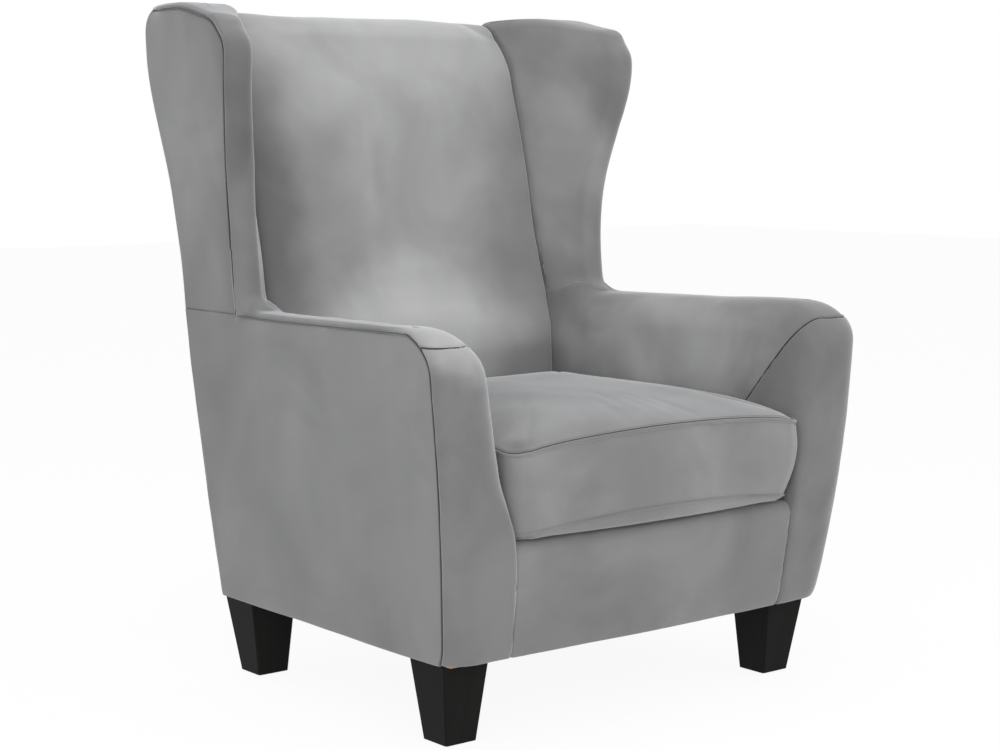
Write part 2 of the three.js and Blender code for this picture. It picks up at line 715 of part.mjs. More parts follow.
// Board that carries the wing, close under the outside panels. Its foot stands beside the back post.
function wingFrame(grow = 0) {
  const shoulder = armRailTop + 2 * seamGap;
  const foot = [sideRailTop + seamGap, mix(sideRailTop, shoulder, 1 / 2), shoulder];
  const body = wingLevels.filter((z) => z > shoulder && z < backPostTop - wingBoard);
  const levels = [...foot, shoulder + seamGap, ...body];
  levels[0] -= grow;
  levels[levels.length - 1] += grow;
  const front = (z) => (z > shoulder ? wingSeamY(Math.max(z, armTop)) + wingBoardInset : backPostFace(z));
  return strip({
    near: (y, z) => outerX(y, z) - panelThickness - seamGap - wingBoard - grow,
    far: (y, z) => outerX(y, z) - panelThickness - seamGap + grow,
    from: (z) => front(z) - grow,
    to: (z) => backPostRear(z) + grow,
    levels,
    stations: (z) => [mix(front(z), rearY(z), 1 / 2)],
  });
}

// Legs

const legHalf = legFootSide / 2;
const legTop = bodyBottom - seamGap;
const legMiddle = (side) => [legOuter - legHalf, side < 0 ? legHalf - legFrontY : legRearY - legHalf];
const boltAt = (side) => {
  const [x, y] = legMiddle(side);
  return [x + legLean - boltShift, y + side * (legLean - boltShift)];
};

function legRing([x, y], side, z) {
  const half = side / 2;
  const flat = half - legChamfer;
  const corner = [[half, -flat], [half, flat], [flat, half], [-flat, half]];
  return [...corner, ...corner.map(([p, q]) => [-p, -q])].map(([p, q]) => [x + p, y + q, z]);
}

function leg(side) {
  const foot = legMiddle(side);
  const top = [foot[0] + legLean, foot[1] + side * legLean];
  const body = loft([legRing(foot, legFootSide, glideHeight), legRing(top, legTopSide, legTop)]);
  const holeBottom = legTop - boltIntoLeg - boltClearance;
  const boltHole = rod(...boltAt(side), holeBottom, legTop + overrun, boltRadius + boltClearance);
  const pinHole = rod(...foot, -overrun, glideHeight + glidePinLength, glidePin + seamGap);
  return cut(body, boltHole, pinHole);
}

const legBolt = (side) => rod(...boltAt(side), legTop - boltIntoLeg, bodyBottom + boltIntoBlock, boltRadius);

function legGlide(side) {
  const foot = legMiddle(side);
  const disc = rod(...foot, 0, glideHeight - seamGap, glideRadius);
  return disc.add(rod(...foot, glideHeight / 2, glideHeight + glidePinLength - seamGap, glidePin));
}

function cornerBlock(side) {
  const x = sideRailInner - seamGap;
  const rear = backPostRear(bodyBottom) - railThickness - 2 * seamGap;
  const y = side < 0 ? postFrontY + railThickness + 2 * seamGap : rear;
  const outline = [
    [x, y],
    [x, y - side * blockSide],
    [x - blockNose, y - side * blockSide],
    [x - blockSide, y - side * blockNose],
    [x - blockSide, y],
  ];
  const block = board(outline, 'xy', bodyBottom, bodyBottom + blockHeight);
  const hole = rod(...boltAt(side), -overrun, bodyBottom + blockHeight + overrun, boltRadius + boltClearance);
  return cut(block, hole, backPost(seamGap));
}

// Wing

// The front edge seen from the side runs round in one sweep over the top
function wingTipY(z) {
  const foot = wingFillet * clamp((armTop + wingFilletHeight - z) / wingFilletHeight) ** 2;
  if (z < wingLobeZ) return wingSeamY(z) - wingNoseReach - foot;
  const round = quarter((z - wingLobeZ) / (wingHeight - wingLobeZ));
  return Math.min(
    wingLobeY - wingNoseReach + (wingTopRound + wingNoseReach) * round,
    wingLobeY + wingTopRound - wingTipLeast,
  );
}

// Plan of the wing: the front edge, the straight inner face, and back to the rear
function wingRing(z, { panelRoom, outerCut = 0, rear }) {
  const seam = wingSeamY(z) - seamGap;
  const innerShift = wingTopInner * quarter((z - wingPanelTop) / (wingHeight - wingPanelTop));
  const outer = (y) => outerX(y, z) - panelRoom - outerCut;
  const edge = outerX(seam, z) - outerCut;
  const face = wingInnerX(z) + innerShift;
  const nose = steps(2 * cornerSteps).map((t) => [
    mix(face, edge, (1 + Math.cos(t * Math.PI)) / 2),
    seam - (seam - wingTipY(z)) * Math.sin(t * Math.PI),
  ]);
  const back = [[seamX(z), insideY(z)], [seamX(z), rear]];
  const side = [rear, ...wingStations(z), seam + seamGap / 2].map((y) => [outer(y), y]);
  return [...nose, ...back, ...side].map(([x, y]) => [x, y, z]);
}

function wingBody() {
  const round = (z) => quarter((z - wingPanelTop) / (wingHeight - wingPanelTop));
  const panelRoom = panelThickness + seamGap;
  const under = wingLevels.map((z) => wingRing(z, { panelRoom, rear: backPostRear(z) }));
  const cap = [0, ...roundShares].map((t) => mix(wingPanelTop + seamGap, wingHeight, t));
  const over = cap.map((z) => wingRing(z, {
    panelRoom: 0,
    outerCut: wingTopOuter * round(z),
    rear: rearY(z) - wingTopRear * round(z),
  }));
  return loft([...under, ...over]);
}

// The room behind the foam of the inside back, between the outside panels
function backHollow() {
  const heights = backLevels.filter((z) => z > bodyBottom && z < backPostTop);
  const outline = [
    [foamRear(bodyBottom), bodyBottom - overrun],
    ...heights.map((z) => [foamRear(z), z]),
    [backTopRear + overrun, backLedgeAt],
    [backTopRear + overrun, bodyBottom - overrun],
  ];
  const half = backPostOuter + seamGap;
  return board(outline, 'yz', -half, half);
}

const wingPad = () => cut(
  wingBody(),
  backHollow(),
  backPost(seamGap),
  wingFrame(seamGap),
  backTopRail(seamGap),
);

const outsideWing = () => strip({
  near: panelInner,
  far: outerX,
  from: (z) => wingSeamY(Math.min(z + seamGap, wingPanelTop)) + seamGap,
  to: backPostRear,
  levels: [panelTop + seamGap, ...wingLevels.slice(0, -1), wingPanelTop - seamGap],
  stations: wingStations,
});

const wingPanelRoom = () => strip({
  near: (y, z) => panelInner(y, z) - seamGap,
  far: (y, z) => outerX(y, z) + overrun,
  from: () => wingSeamY(armTop),
  to: beyond,
  levels: [panelTop, armTop + seamGap],
  stations: wingStations,
});

// Back

function insideBack() {
  const ring = (z, rear) => {
    const swell = backCrown * smooth((z - backCrownFrom) / backCrownLength);
    const round = backTopRound * quarter((z - backHeight + backTopHeight) / backTopHeight);
    const half = seamX(z) - seamGap;
    const right = backShares.map((t) => -t).reverse();
    const front = [...right, 0, ...backShares].map((t) => {
      const share = 1 - Math.abs(t) ** backPower;
      return [half * t, insideY(z) - swell * share + round];
    });
    return [...front, [half, rear], [-half, rear]].map(([x, y]) => [x, y, z]);
  };
  const low = backLevels.filter((z) => z >= padBottom && z < backPostTop);
  const slab = low.map((z) => ring(z, foamRear(z)));
  const bend = backHeight - backTopHeight;
  const high = [backLedgeAt + seamGap, bend, mix(bend, wingPanelTop, 1 / 2), wingPanelTop];
  const upper = high.map((z) => ring(z, backPostRear(z)));
  const share = (z) => quarter((z - wingPanelTop) / (backHeight - wingPanelTop));
  const cap = [wingPanelTop + seamGap, mix(wingPanelTop, backHeight, 1 / 2), backHeight];
  const over = cap.map((z) => ring(z, rearY(z) - wingTopRear * share(z)));
  return cut(loft([...slab, ...upper, ...over]), backTopRail(seamGap));
}

function outsideBack() {
  const levels = [...footLevels, ...bodyShares.map((t) => mix(footLevels.at(-1), panelTop, t))];
  const upper = [...wingLevels.slice(0, -1), wingPanelTop - seamGap];
  return loft([...levels, ...upper].map((z) => {
    const y = rearY(z);
    const x = outerX(y, z);
    const half = [[x, y - rearPanel], [x, y - rearPanel / 2], [x - rearPanel / 2, y]];
    return [...half, ...half.map(([p, q]) => [-p, q]).reverse()].map(([p, q]) => [p, q, z]);
  }));
}

// Front rail cover and seat deck

function frontCover() {
  const bend = frontPadHeight - frontPadRound;
  const levels = [...footLevels, mix(footLevels.at(-1), bend, 1 / 2), bend];
  const top = roundShares.map((t) => bend + frontPadRound * t);
  const rings = [...levels, ...top].map((z) => {
    const half = innerX(postFrontY, z) - seamGap;
    const h = clamp((z - bodyBottom) / (frontPadHeight - bodyBottom));
    const seam = noseY(z) + frontPadSetBack * h + frontPadRound * quarter((z - bend) / frontPadRound);
    const shares = steps(archSteps).map((t) => 2 * t - 1);
    const front = shares.map((t) => [half * t, seam - frontPadBulge * (1 - t * t)]);
    const rear = postFrontY + frontPadLip;
    return [...front, [half, rear], [-half, rear]].map(([x, y]) => [x, y, z]);
  });
  const rail = box(
    [-bodyHalfWidth, postFrontY - seamGap, bodyBottom - overrun],
    [bodyHalfWidth, 0, frontRailTop + seamGap],
  );
  return cut(loft(rings), rail);
}

function seatDeck() {
  const low = deckTop - deckThickness;
  const front = postFrontY + frontPadLip + seamGap;
  const turns = steps(turnSteps).map((t) => seatBackY - seamGap - armCorner * (1 - t));
  const ys = [front, ...armStations().filter((y) => y < seatBackY - armCorner), ...turns];
  const half = ys.map((y) => [innerX(y, low) - 2 * seamGap, y]);
  const outline = [...half, ...half.map(([x, y]) => [-x, y]).reverse()];
  return board(outline, 'xy', low, deckTop);
}

function dustCover() {
  const [x, y] = legMiddle(-1);
  const notch = x + legLean - legTopSide / 2 - seamGap;
  const side = bodyHalfWidth - dustMargin;
  const front = postFrontY + dustMarginFront;
  const rear = backPostRear(bodyBottom) - dustMarginFront;
  const frontNotch = y - legLean + legTopSide / 2 + seamGap;
  const rearNotch = legMiddle(1)[1] + legLean - legTopSide / 2 - seamGap;
  const half = [
    [notch, front],
    [notch, frontNotch],
    [side, frontNotch],
    [side, rearNotch],
    [notch, rearNotch],
    [notch, rear],
  ];
  const outline = [...half, ...half.map(([p, q]) => [-p, q]).reverse()];
  return board(outline, 'xy', bodyBottom - seamGap - dustThickness, bodyBottom - seamGap);
}

// Suspension

function seatSpring(index) {
  const outer = innerFoot - springMargin;
  const x = mix(-outer, outer, index / (springCount - 1));
  const from = postFrontY + springSetBack;
  const to = springRailFace + railThickness / 2;
  const points = steps(springLoops * springFacets).map((t) => [
    x + springHalfWidth * Math.sin(2 * Math.PI * springLoops * t),
    mix(from, to, t),
    frontRailTop + seamGap + springWire + springArch * Math.sin(Math.PI * t),
  ]);
  return wire(points, springWire);
}

function backStrap(index) {
  const low = mix(deckTop + strapRise, backPostTop - strapDrop, index / (strapCount - 1)) - strapWidth / 2;
  const high = low + strapWidth;
  const heights = [low, ...backLevels.filter((z) => z > low && z < high), high];
  const outline = [
    ...heights.map((z) => [foamRear(z) + seamGap, z]),
    ...heights.reverse().map((z) => [foamRear(z) + seamGap + strapThickness, z]),
  ];
  const half = backPostOuter - strapMargin;
  return board(outline, 'yz', -half, half);
}

// Seat cushion

// Plan of the upper seam, from the middle of the front round by the left to the middle of the rear
function cushionHalfPlan() {
  const turn = cushionCornerRadius;
  const frontY = (x) => -cushionCorner - cushionBow * (1 - (x / cushionHalfWidth) ** 2);
  const front = steps(turnSteps).map((t) => t * (cushionHalfWidth - turn)).map((x) => [x, frontY(x)]);
  const arc = (x, y, from) => steps(turnSteps - 1).slice(1, -1).map((t) => {
    const angle = (from + t) * Math.PI / 2;
    return [x + turn * Math.sin(angle), y - turn * Math.cos(angle)];
  });
  const sideX = (t) => mix(cushionHalfWidth, cushionRearHalfWidth, t) - cushionPull * Math.sin(t * Math.PI);
  const side = steps(turnSteps).map((t) => [sideX(t), mix(turn - cushionCorner, cushionRear - turn, t)]);
  return [
    ...front,
    ...arc(cushionHalfWidth - turn, turn - cushionCorner, 0),
    ...side,
    ...arc(cushionRearHalfWidth - turn, cushionRear - turn, 1),
    [cushionRearHalfWidth - turn, cushionRear],
    [0, cushionRear],
  ];
}

function cushionForm(skin) {
  const half = cushionHalfPlan();
  const plan = [...half, ...half.slice(1, -1).reverse().map(([x, y]) => [-x, y])];
  const middle = (cushionRear - cushionCorner) / 2;
  const bottom = deckTop + seamGap;
  const fore = ([x, y]) => (1 - (x / cushionHalfWidth) ** 2) * clamp(-y / cushionCorner) ** archPower;
  const low = (p) => bottom + cushionSeamLow + cushionArch * fore(p);
  const side = ([, y]) => cushionSideRise * (1 - clamp(-y / cushionCorner) ** archPower);
  const high = (p) => bottom + cushionSeamLow + cushionBoxing + cushionArch * fore(p) + side(p);
  const ring = (inset, height) => plan.map((p) => {
    const kx = 1 - (inset + skin) / cushionHalfWidth;
    const ky = 1 - (inset + skin) / (cushionRear - middle);
    return [p[0] * kx, middle + (p[1] - middle) * ky, height(p)];
  });
  const pull = cushionBottomPull;
  const ridge = (inset, seam) => (skin > 0 ? [ring(inset, seam)] : [
    ring(inset + cushionRidge, (p) => seam(p) - cushionRidgeHalf),
    ring(inset, seam),
    ring(inset + cushionRidge, (p) => seam(p) + cushionRidgeHalf),
  ]);
  const lowSeam = (p) => Math.max(low(p), bottom + skin + cushionRidgeHalf);
  const under = [
    ring(cushionUnder, () => bottom + skin),
    ring(mix(cushionUnder, pull, 1 - underShare), (p) => mix(bottom + skin, lowSeam(p), underShare ** 2)),
  ];
  const belly = bellyShares.map((t) => ring(
    mix(pull, 0, t) - cushionBelly * Math.sin(t * Math.PI),
    (p) => mix(lowSeam(p), high(p), t),
  ));
  const top = crownShares.map((s) => ring(
    (1 - s) * (cushionRear - middle),
    (p) => mix(high(p), bottom + cushionHeight, 1 - s ** crownPower) - skin,
  ));
  return loft([...under, ...ridge(pull, lowSeam), ...belly, ...ridge(0, high), ...top]);
}

function zipRoom(grow) {
  const z = deckTop + cushionSeamLow + cushionBoxing / 2;
  return box(
    [-zipLength / 2 - grow, cushionRear - railThickness, z - zipHeight / 2 - grow],
    [zipLength / 2 + grow, cushionRear + overrun, z + zipHeight / 2 + grow],
  );
}

const cushionShell = () => cushionForm(0).subtract(cushionForm(coverThickness));

// Assembly

const chair = new THREE.Group();
chair.name = 'wingback_armchair';

function add(name, solid, finish) {
  const mesh = new THREE.Mesh(geometryFrom(solid), new THREE.MeshStandardMaterial(finish));
  mesh.name = name;
  chair.add(mesh);
}

function addPair(name, solid, finish) {
  add(`${name}_left`, solid, finish);
  add(`${name}_right`, mirrored(solid), finish);
}

addPair('arm_facing', armFacing(), velvet);
addPair('arm_pad', armPad(), velvet);
addPair('wing_pad', wingPad(), velvet);
addPair('outside_arm_panel', outsideArm(), panelCloth);
addPair('outside_wing_panel', outsideWing(), panelCloth);
add('inside_back_pad', insideBack(), velvet);
add('outside_back_panel', outsideBack(), panelCloth);
add('front_rail_cover', frontCover(), velvet);
add('seat_deck', seatDeck(), lining);
add('dust_cover', dustCover(), lining);

add('cushion_cover', cut(cushionShell(), zipRoom(seamGap)), velvet);
add('cushion_foam', cushionForm(coverThickness + seamGap), foam);
add('cushion_zip', cushionShell().intersect(zipRoom(0)), nylon);

add('front_rail', frontRail(), timber);
add('back_rail', backRail(), timber);
add('back_top_rail', backTopRail(), timber);
add('back_tuck_rail', backTuckRail(), timber);
add('rear_spring_rail', springRail(), timber);
addPair('side_rail', sideRail(), timber);
addPair('arm_post', armPost(), timber);
addPair('arm_rail', armRail(), timber);
addPair('arm_tuck_rail', armTuckRail(), timber);
addPair('back_post', backPost(), timber);
addPair('wing_frame', wingFrame(), timber);

for (const [end, side] of [['front', -1], ['rear', 1]]) {
  addPair(`corner_block_${end}`, cornerBlock(side), timber);
  addPair(`leg_${end}`, leg(side), blackWood);
  addPair(`leg_bolt_${end}`, legBolt(side), steel);
  addPair(`leg_glide_${end}`, legGlide(side), nylon);
}

for (let i = 0; i < springCount; i += 1) add(`seat_spring_${i + 1}`, seatSpring(i), steel);
for (let i = 0; i < strapCount; i += 1) add(`back_strap_${i + 1}`, backStrap(i), webbing);

export default chair;
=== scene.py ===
import json
import math

import bmesh
import bpy
import numpy as np
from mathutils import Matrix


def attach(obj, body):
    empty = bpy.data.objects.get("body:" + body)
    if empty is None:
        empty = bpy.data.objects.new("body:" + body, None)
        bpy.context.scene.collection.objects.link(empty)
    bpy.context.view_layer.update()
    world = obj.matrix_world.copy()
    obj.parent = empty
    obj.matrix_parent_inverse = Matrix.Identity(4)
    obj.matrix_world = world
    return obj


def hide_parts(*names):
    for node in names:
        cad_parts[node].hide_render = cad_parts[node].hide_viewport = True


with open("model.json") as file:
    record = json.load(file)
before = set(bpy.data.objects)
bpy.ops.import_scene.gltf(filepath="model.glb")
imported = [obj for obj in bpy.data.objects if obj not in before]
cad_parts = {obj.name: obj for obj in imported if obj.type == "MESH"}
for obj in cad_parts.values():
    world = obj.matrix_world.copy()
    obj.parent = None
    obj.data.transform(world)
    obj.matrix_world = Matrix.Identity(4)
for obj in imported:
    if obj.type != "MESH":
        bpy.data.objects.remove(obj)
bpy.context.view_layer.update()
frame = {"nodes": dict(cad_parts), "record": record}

# The chair faces -Y. Shapes are worked out in millimetres, from the same sizes as the solids,
# and MM turns them into the frame's metres.
MM = 0.001
LEFT, RIGHT = 1, -1
SIDES = {"left": LEFT, "right": RIGHT}

# Overall form
BODY_BOTTOM = 120
BODY_HALF = 357
ARM_TOP = 568
ARM_RISE = 10
BACK_HEIGHT = 1020
WING_HEIGHT = 1026
NOSE_FRONT = 372.5
NOSE_FOOT = 341
NOSE_FULL_SHARE = 0.725
BACK_FOOT = 253
BACK_TOP_REAR = 387.7
BACK_BOW_SHARE = 0.48

# Arms
FLARE_END = 138
FLARE_REAR = 9
FLARE = 40
BOW_SHARE = 0.25
INNER_FOOT = 266
INNER_LEAN_REAR = 10
INNER_LEAN = 52
INNER_SPREAD = 8
ARM_CORNER = 60
NOSE_REACH = 28
NOSE_WIDTH = 45
NOSE_INNER = 44
NOSE_INNER_FOOT = 3
NOSE_PLUMP_SHARE = 0.42
CROWN_OUTER = 10
CROWN_INNER_WIDTH = 56
CROWN_INNER_HEIGHT = 52
CROWN_INNER_NOSE = 76
CROWN_INNER_FROM = -240
CROWN_INNER_REACH = 110
CROWN_FRONT_DEPTH = 98
CROWN_FRONT_HEIGHT = 60
FOOT_TUCK = 10
FOOT_TUCK_SIDE = 2
FOOT_TUCK_HEIGHT = 30
FOOT_SHARES = np.array([0, 0.03, 0.1, 0.2, 0.35, 0.6, 1])
FRONT_LIFT = 3.5
PANEL_LIP = 3
SEAM_TOP = 555
SEAM_Y = -340
SEAM_BEND = (-316, 544)
SEAM_FOOT_Y = -127
ARM_PAD_BOTTOM = 262
ARM_PAD_REAR = 268
ARM_SWELL = 17
ARM_SWELL_Y = 180
ARM_SWELL_REACH = 26
ARM_SWELL_DEPTH = 26
FACING_FOOT_REACH = 40
FACING_OVERLAP = 5

# Wings
WING_FLARE = 33
WING_WAIST_Y = 198
WING_WAIST_Z = 690
WING_LOBE_Y = 156
WING_LOBE_Z = 948
WING_LOBE_POWER = 1.3
WING_FOOT_REACH = 11
WING_NOSE = 24
WING_NOSE_REACH = 18
WING_FILLET = 30
WING_FILLET_HEIGHT = 24
WING_TOP_ROUND = 62
WING_TOP_INNER = 14
WING_TOP_OUTER = 13
WING_TOP_REAR = 20
WING_TIP_LEAST = 6
WING_TOP_CLOSE = (0.04, 0.1, 0.2, 0.35, 0.55, 0.8, 1.0)

# How far the wing's inner face is rounded into its front edge, low down and at the top
EASE_REACH = (20, 8)
EASE_SPREAD = (8, 3)

# How the filling rounds the wings' tops: the top edge rises, falls away in front and turns in
# behind. Each pair says where a change starts and how far on it is complete.
TOP_RISE = 10
TOP_SINK = 8
TOP_ASIDE = (240, 80)
TOP_INWARD = 2
TOP_INWARD_X = (225, 15)
TOP_INWARD_Z = (960, 60)
TOP_FALL = 18
TOP_FALL_FROM = 300
TOP_FALL_TO = 185
TIP_FALL = 8
TIP_FALL_FROM = 190
TIP_FALL_REACH = 30
TOP_TURN_IN = 20
TOP_TURN_SIDE = 9
TOP_TURN_FROM = 975
TOP_TURN_HEIGHT = 37
TOP_TURN_MOST = 0.95
TOP_TURN_X = (250, 120)
TOP_TURN_Y = (330, 50)

# Back
BACK_SEAM_LOW = 262
BACK_SEAM_HIGH = 236
BACK_DEPTH = 142
BACK_DEPTH_TOP = 92
SEAT_BACK_Y = 186
BACK_CROWN = 12
BACK_CROWN_FROM = 410
BACK_CROWN_TO = 560
BACK_TOP_ROUND = 44
BACK_TOP_HEIGHT = 34
BACK_POWER = 4
BACK_CORNER = 10
BACK_CORNER_BACK = 46
BACK_CORNER_WIDTH = 105
BACK_CORNER_HEIGHT = 95
BACK_CORNER_POWER = 1.8
BACK_SPREAD = 8.5
BACK_SPREAD_FROM = 600
BACK_SPREAD_REACH = 200
BACK_ROOM = 14
SEAM_FROM_REAR = 12
SEAM_SHIFT_LOW = 28
SEAM_SHIFT_HIGH = 19
SEAM_SHIFT_BACK = 1.25
SEAM_SHIFT_FROM = 475
SEAM_SHIFT_REACH = 95
SEAM_SHIFT_EASE_FROM = 620
SEAM_SHIFT_EASE = 390

# Seat
DECK_TOP = 287
FRONT_PAD_HEIGHT = 284
FRONT_PAD_ROUND = 22
FRONT_PAD_SET_BACK = 4
FRONT_PAD_BULGE = 5
FRONT_PAD_REAR = -309
CUSHION_HALF = 277
CUSHION_REAR_HALF = 262
CUSHION_FRONT = 386.6
CUSHION_CORNER = 367
CUSHION_REAR = 172
CUSHION_TURN = 26
CUSHION_HEIGHT = 168
CUSHION_SEAM_LOW = 5
CUSHION_BOXING = 115
CUSHION_ARCH = 18
CUSHION_SIDE_RISE = 12
CUSHION_UNDER = 52
CUSHION_BELLY = 5
CUSHION_PULL = 5
CUSHION_BOTTOM_PULL = 12
CUSHION_DROOP = 4
CUSHION_SAG = 6
CUSHION_WAVE = 1.3
CUSHION_FINE_WAVE = 0.14
CUSHION_DENT = 4.5
CUSHION_PINNED = 7

# Cloth simulation of the cushion's cover, with the cap on a point's movement in metres
CLOTH_FRAMES = 20
CLOTH_PRESSURE = 4.0
CUSHION_CAP = 0.007
CUSHION_BOTTOM = DECK_TOP + 0.3
FOAM_INSET = 9

WING_PANEL_TOP = WING_LOBE_Z + WING_TOP_ROUND
PANEL_TOP = ARM_TOP - CROWN_OUTER + PANEL_LIP
UNDER_PANEL = 3
UNDER_BACK = 9
ARM_FULL = ARM_TOP - CROWN_FRONT_HEIGHT

# The inside back rolls into its seams, and all covers are tucked down between it and the wings
BACK_ROLL = 6
BACK_ROLL_WIDTH = 13
BACK_TOP_SINK = 0.6
TUCK = 30

# Cloth that is turned in at a seam, and the spacing of a cover's points beside it
HEM = 9
SEAM_STEPS = np.array([0, 0.8, 1.7, 3, 4.4, 5.6, 6.5, 7.4, 9, 12, 16, 21])
STITCH_AWAY = 6.5
POINT_STEP = 7
COVER_THICK = 2.4
OUTWARD = (1.0, 0, 0)

# How deep and wide a cover is drawn in at a seam, and how its fine waves follow its large ones
SEAM_DEPTH = 2.2
SEAM_WIDTH = 2.6
FACING_DEPTH = 2.4
SEAM_CREASE = 0.6
SEAM_LEAN = 0.8
FINE_SHARE = 0.35
FINE_SIZE = 0.36
CALM_REACH = 45
SHARED_REACH = 4
GATHER_PITCH = 8.5


def clamp(t):
    return np.clip(t, 0, 1)


def smooth(t):
    t = clamp(t)
    return t * t * (3 - 2 * t)


def rising(value, start, reach):
    """0 up to start, 1 from start + reach on, and smooth between."""
    return smooth((value - start) / reach)


def bell(value, width):
    return np.exp(-((value / width) ** 2))


def mix(a, b, t):
    return a + (b - a) * t


def quarter(t):
    return 1 - np.sqrt(1 - clamp(t) ** 2)


def quarter_turn(count):
    """Even angles from 0 to a right angle."""
    return np.linspace(0, math.pi / 2, count)


def unit(vectors):
    return vectors / np.maximum(np.linalg.norm(vectors, axis=-1, keepdims=True), 1e-9)


# Surfaces of the left half, as in the solids

def fore_share(y):
    return clamp((FLARE_END - y) / (FLARE_END + NOSE_FRONT))


def crown_at(y):
    return ARM_TOP + ARM_RISE * smooth(fore_share(y))


def lifted(y, z):
    return z + (crown_at(y) - ARM_TOP) * (z - BODY_BOTTOM) / (ARM_TOP - BODY_BOTTOM)


def settled(y, z):
    return BODY_BOTTOM + (z - BODY_BOTTOM) * (ARM_TOP - BODY_BOTTOM) / (crown_at(y) - BODY_BOTTOM)


def outer_x(y, z):
    h = clamp((z - BODY_BOTTOM) / (ARM_TOP - BODY_BOTTOM))
    bow = h * (1 + BOW_SHARE * (1 - h))
    wing = rising(z, ARM_TOP, WING_LOBE_Z - ARM_TOP) ** 2
    tuck = FOOT_TUCK_SIDE * quarter(1 - (z - BODY_BOTTOM) / FOOT_TUCK)
    return BODY_HALF + (FLARE_REAR + FLARE * fore_share(y)) * bow + WING_FLARE * wing - tuck


def seam_shift(z):
    """The filling pushes the seam beside the back outward above the arms."""
    eased_in = clamp((z - SEAM_SHIFT_EASE_FROM) / SEAM_SHIFT_EASE)
    shift = mix(SEAM_SHIFT_LOW, SEAM_SHIFT_HIGH, eased_in)
    return shift * rising(z, SEAM_SHIFT_FROM, SEAM_SHIFT_REACH)


def corner_turn(z):
    """How far the back's upper corner has turned over at a level, 0 to 1."""
    return clamp((z - BACK_HEIGHT + BACK_CORNER_HEIGHT) / BACK_CORNER_HEIGHT) ** BACK_CORNER_POWER


def seam_x(z):
    turn = BACK_CORNER * corner_turn(z) - BACK_SPREAD * rising(z, BACK_SPREAD_FROM, BACK_SPREAD_REACH)
    upright = mix(BACK_SEAM_LOW, BACK_SEAM_HIGH, clamp((z - DECK_TOP) / (BACK_HEIGHT - DECK_TOP)))
    return upright - turn + seam_shift(z)


def rear_y(z):
    h = (z - BODY_BOTTOM) / (BACK_HEIGHT - BODY_BOTTOM)
    return BACK_FOOT + (BACK_TOP_REAR - BACK_FOOT) * h * (1 + BACK_BOW_SHARE * (1 - h))


def inside_y(z):
    t = clamp((z - ARM_TOP) / (BACK_HEIGHT - ARM_TOP))
    raked = rear_y(z) - mix(BACK_DEPTH, BACK_DEPTH_TOP, t * (1 + BACK_BOW_SHARE * (1 - t)))
    return np.maximum(SEAT_BACK_Y, raked) + SEAM_SHIFT_BACK * seam_shift(z)


def seam_y(z):
    return inside_y(z) + BACK_CORNER_BACK * corner_turn(z)


def inner_x(y, z):
    h = clamp((z - ARM_PAD_BOTTOM) / (ARM_TOP - ARM_PAD_BOTTOM))
    spread = INNER_SPREAD * clamp((ARM_PAD_BOTTOM - z) / (ARM_PAD_BOTTOM - BODY_BOTTOM))
    face = INNER_FOOT - spread + mix(INNER_LEAN_REAR, INNER_LEAN, fore_share(y)) * h
    return mix(face, seam_x(z), smooth((y - inside_y(z) + ARM_CORNER) / ARM_CORNER))


def nose_y(z):
    h = clamp((z - BODY_BOTTOM) / ((ARM_TOP - BODY_BOTTOM) * NOSE_FULL_SHARE))
    lean = (NOSE_FRONT - NOSE_FOOT) * np.sin(h * math.pi / 2)
    return FOOT_TUCK * quarter(1 - (z - BODY_BOTTOM) / FOOT_TUCK_HEIGHT) - NOSE_FOOT - lean


def arm_front(z):
    return nose_y(z) + CROWN_FRONT_DEPTH * quarter((z - ARM_FULL) / CROWN_FRONT_HEIGHT)


def arm_seam_y(z):
    return arm_front(z) + NOSE_REACH


def wing_seam_y(z):
    up = smooth((z - WING_WAIST_Z) / (WING_LOBE_Z - WING_WAIST_Z))
    foot = clamp((WING_WAIST_Z - z) / (WING_WAIST_Z - ARM_TOP))
    top = WING_TOP_ROUND * quarter((z - WING_LOBE_Z) / WING_TOP_ROUND)
    return mix(WING_WAIST_Y, WING_LOBE_Y, up ** WING_LOBE_POWER) - WING_FOOT_REACH * foot * foot + top


def wing_inner_x(z):
    return outer_x(wing_seam_y(z), z) - 2 * WING_NOSE


def wing_nose_end(z):
    """Where the padded front edge ends on the wing's outer side, under the panel at the top."""
    turned = quarter((z - WING_LOBE_Z) / (WING_HEIGHT - WING_LOBE_Z))
    return np.where(z < WING_LOBE_Z, wing_seam_y(z), WING_LOBE_Y + WING_TOP_ROUND * turned)


def wing_face_x(y, z):
    start = wing_seam_y(z)
    return mix(wing_inner_x(z), seam_x(z), clamp((y - start) / (seam_y(z) - start)))


def wing_tip_y(z):
    foot = WING_FILLET * clamp((ARM_TOP + WING_FILLET_HEIGHT - z) / WING_FILLET_HEIGHT) ** 2
    low = wing_seam_y(z) - WING_NOSE_REACH - foot
    turned = quarter((z - WING_LOBE_Z) / (WING_HEIGHT - WING_LOBE_Z))
    over = WING_LOBE_Y - WING_NOSE_REACH + (WING_TOP_ROUND + WING_NOSE_REACH) * turned
    top = WING_LOBE_Y + WING_TOP_ROUND - WING_TIP_LEAST
    return np.where(z < WING_LOBE_Z, low, np.minimum(over, top))


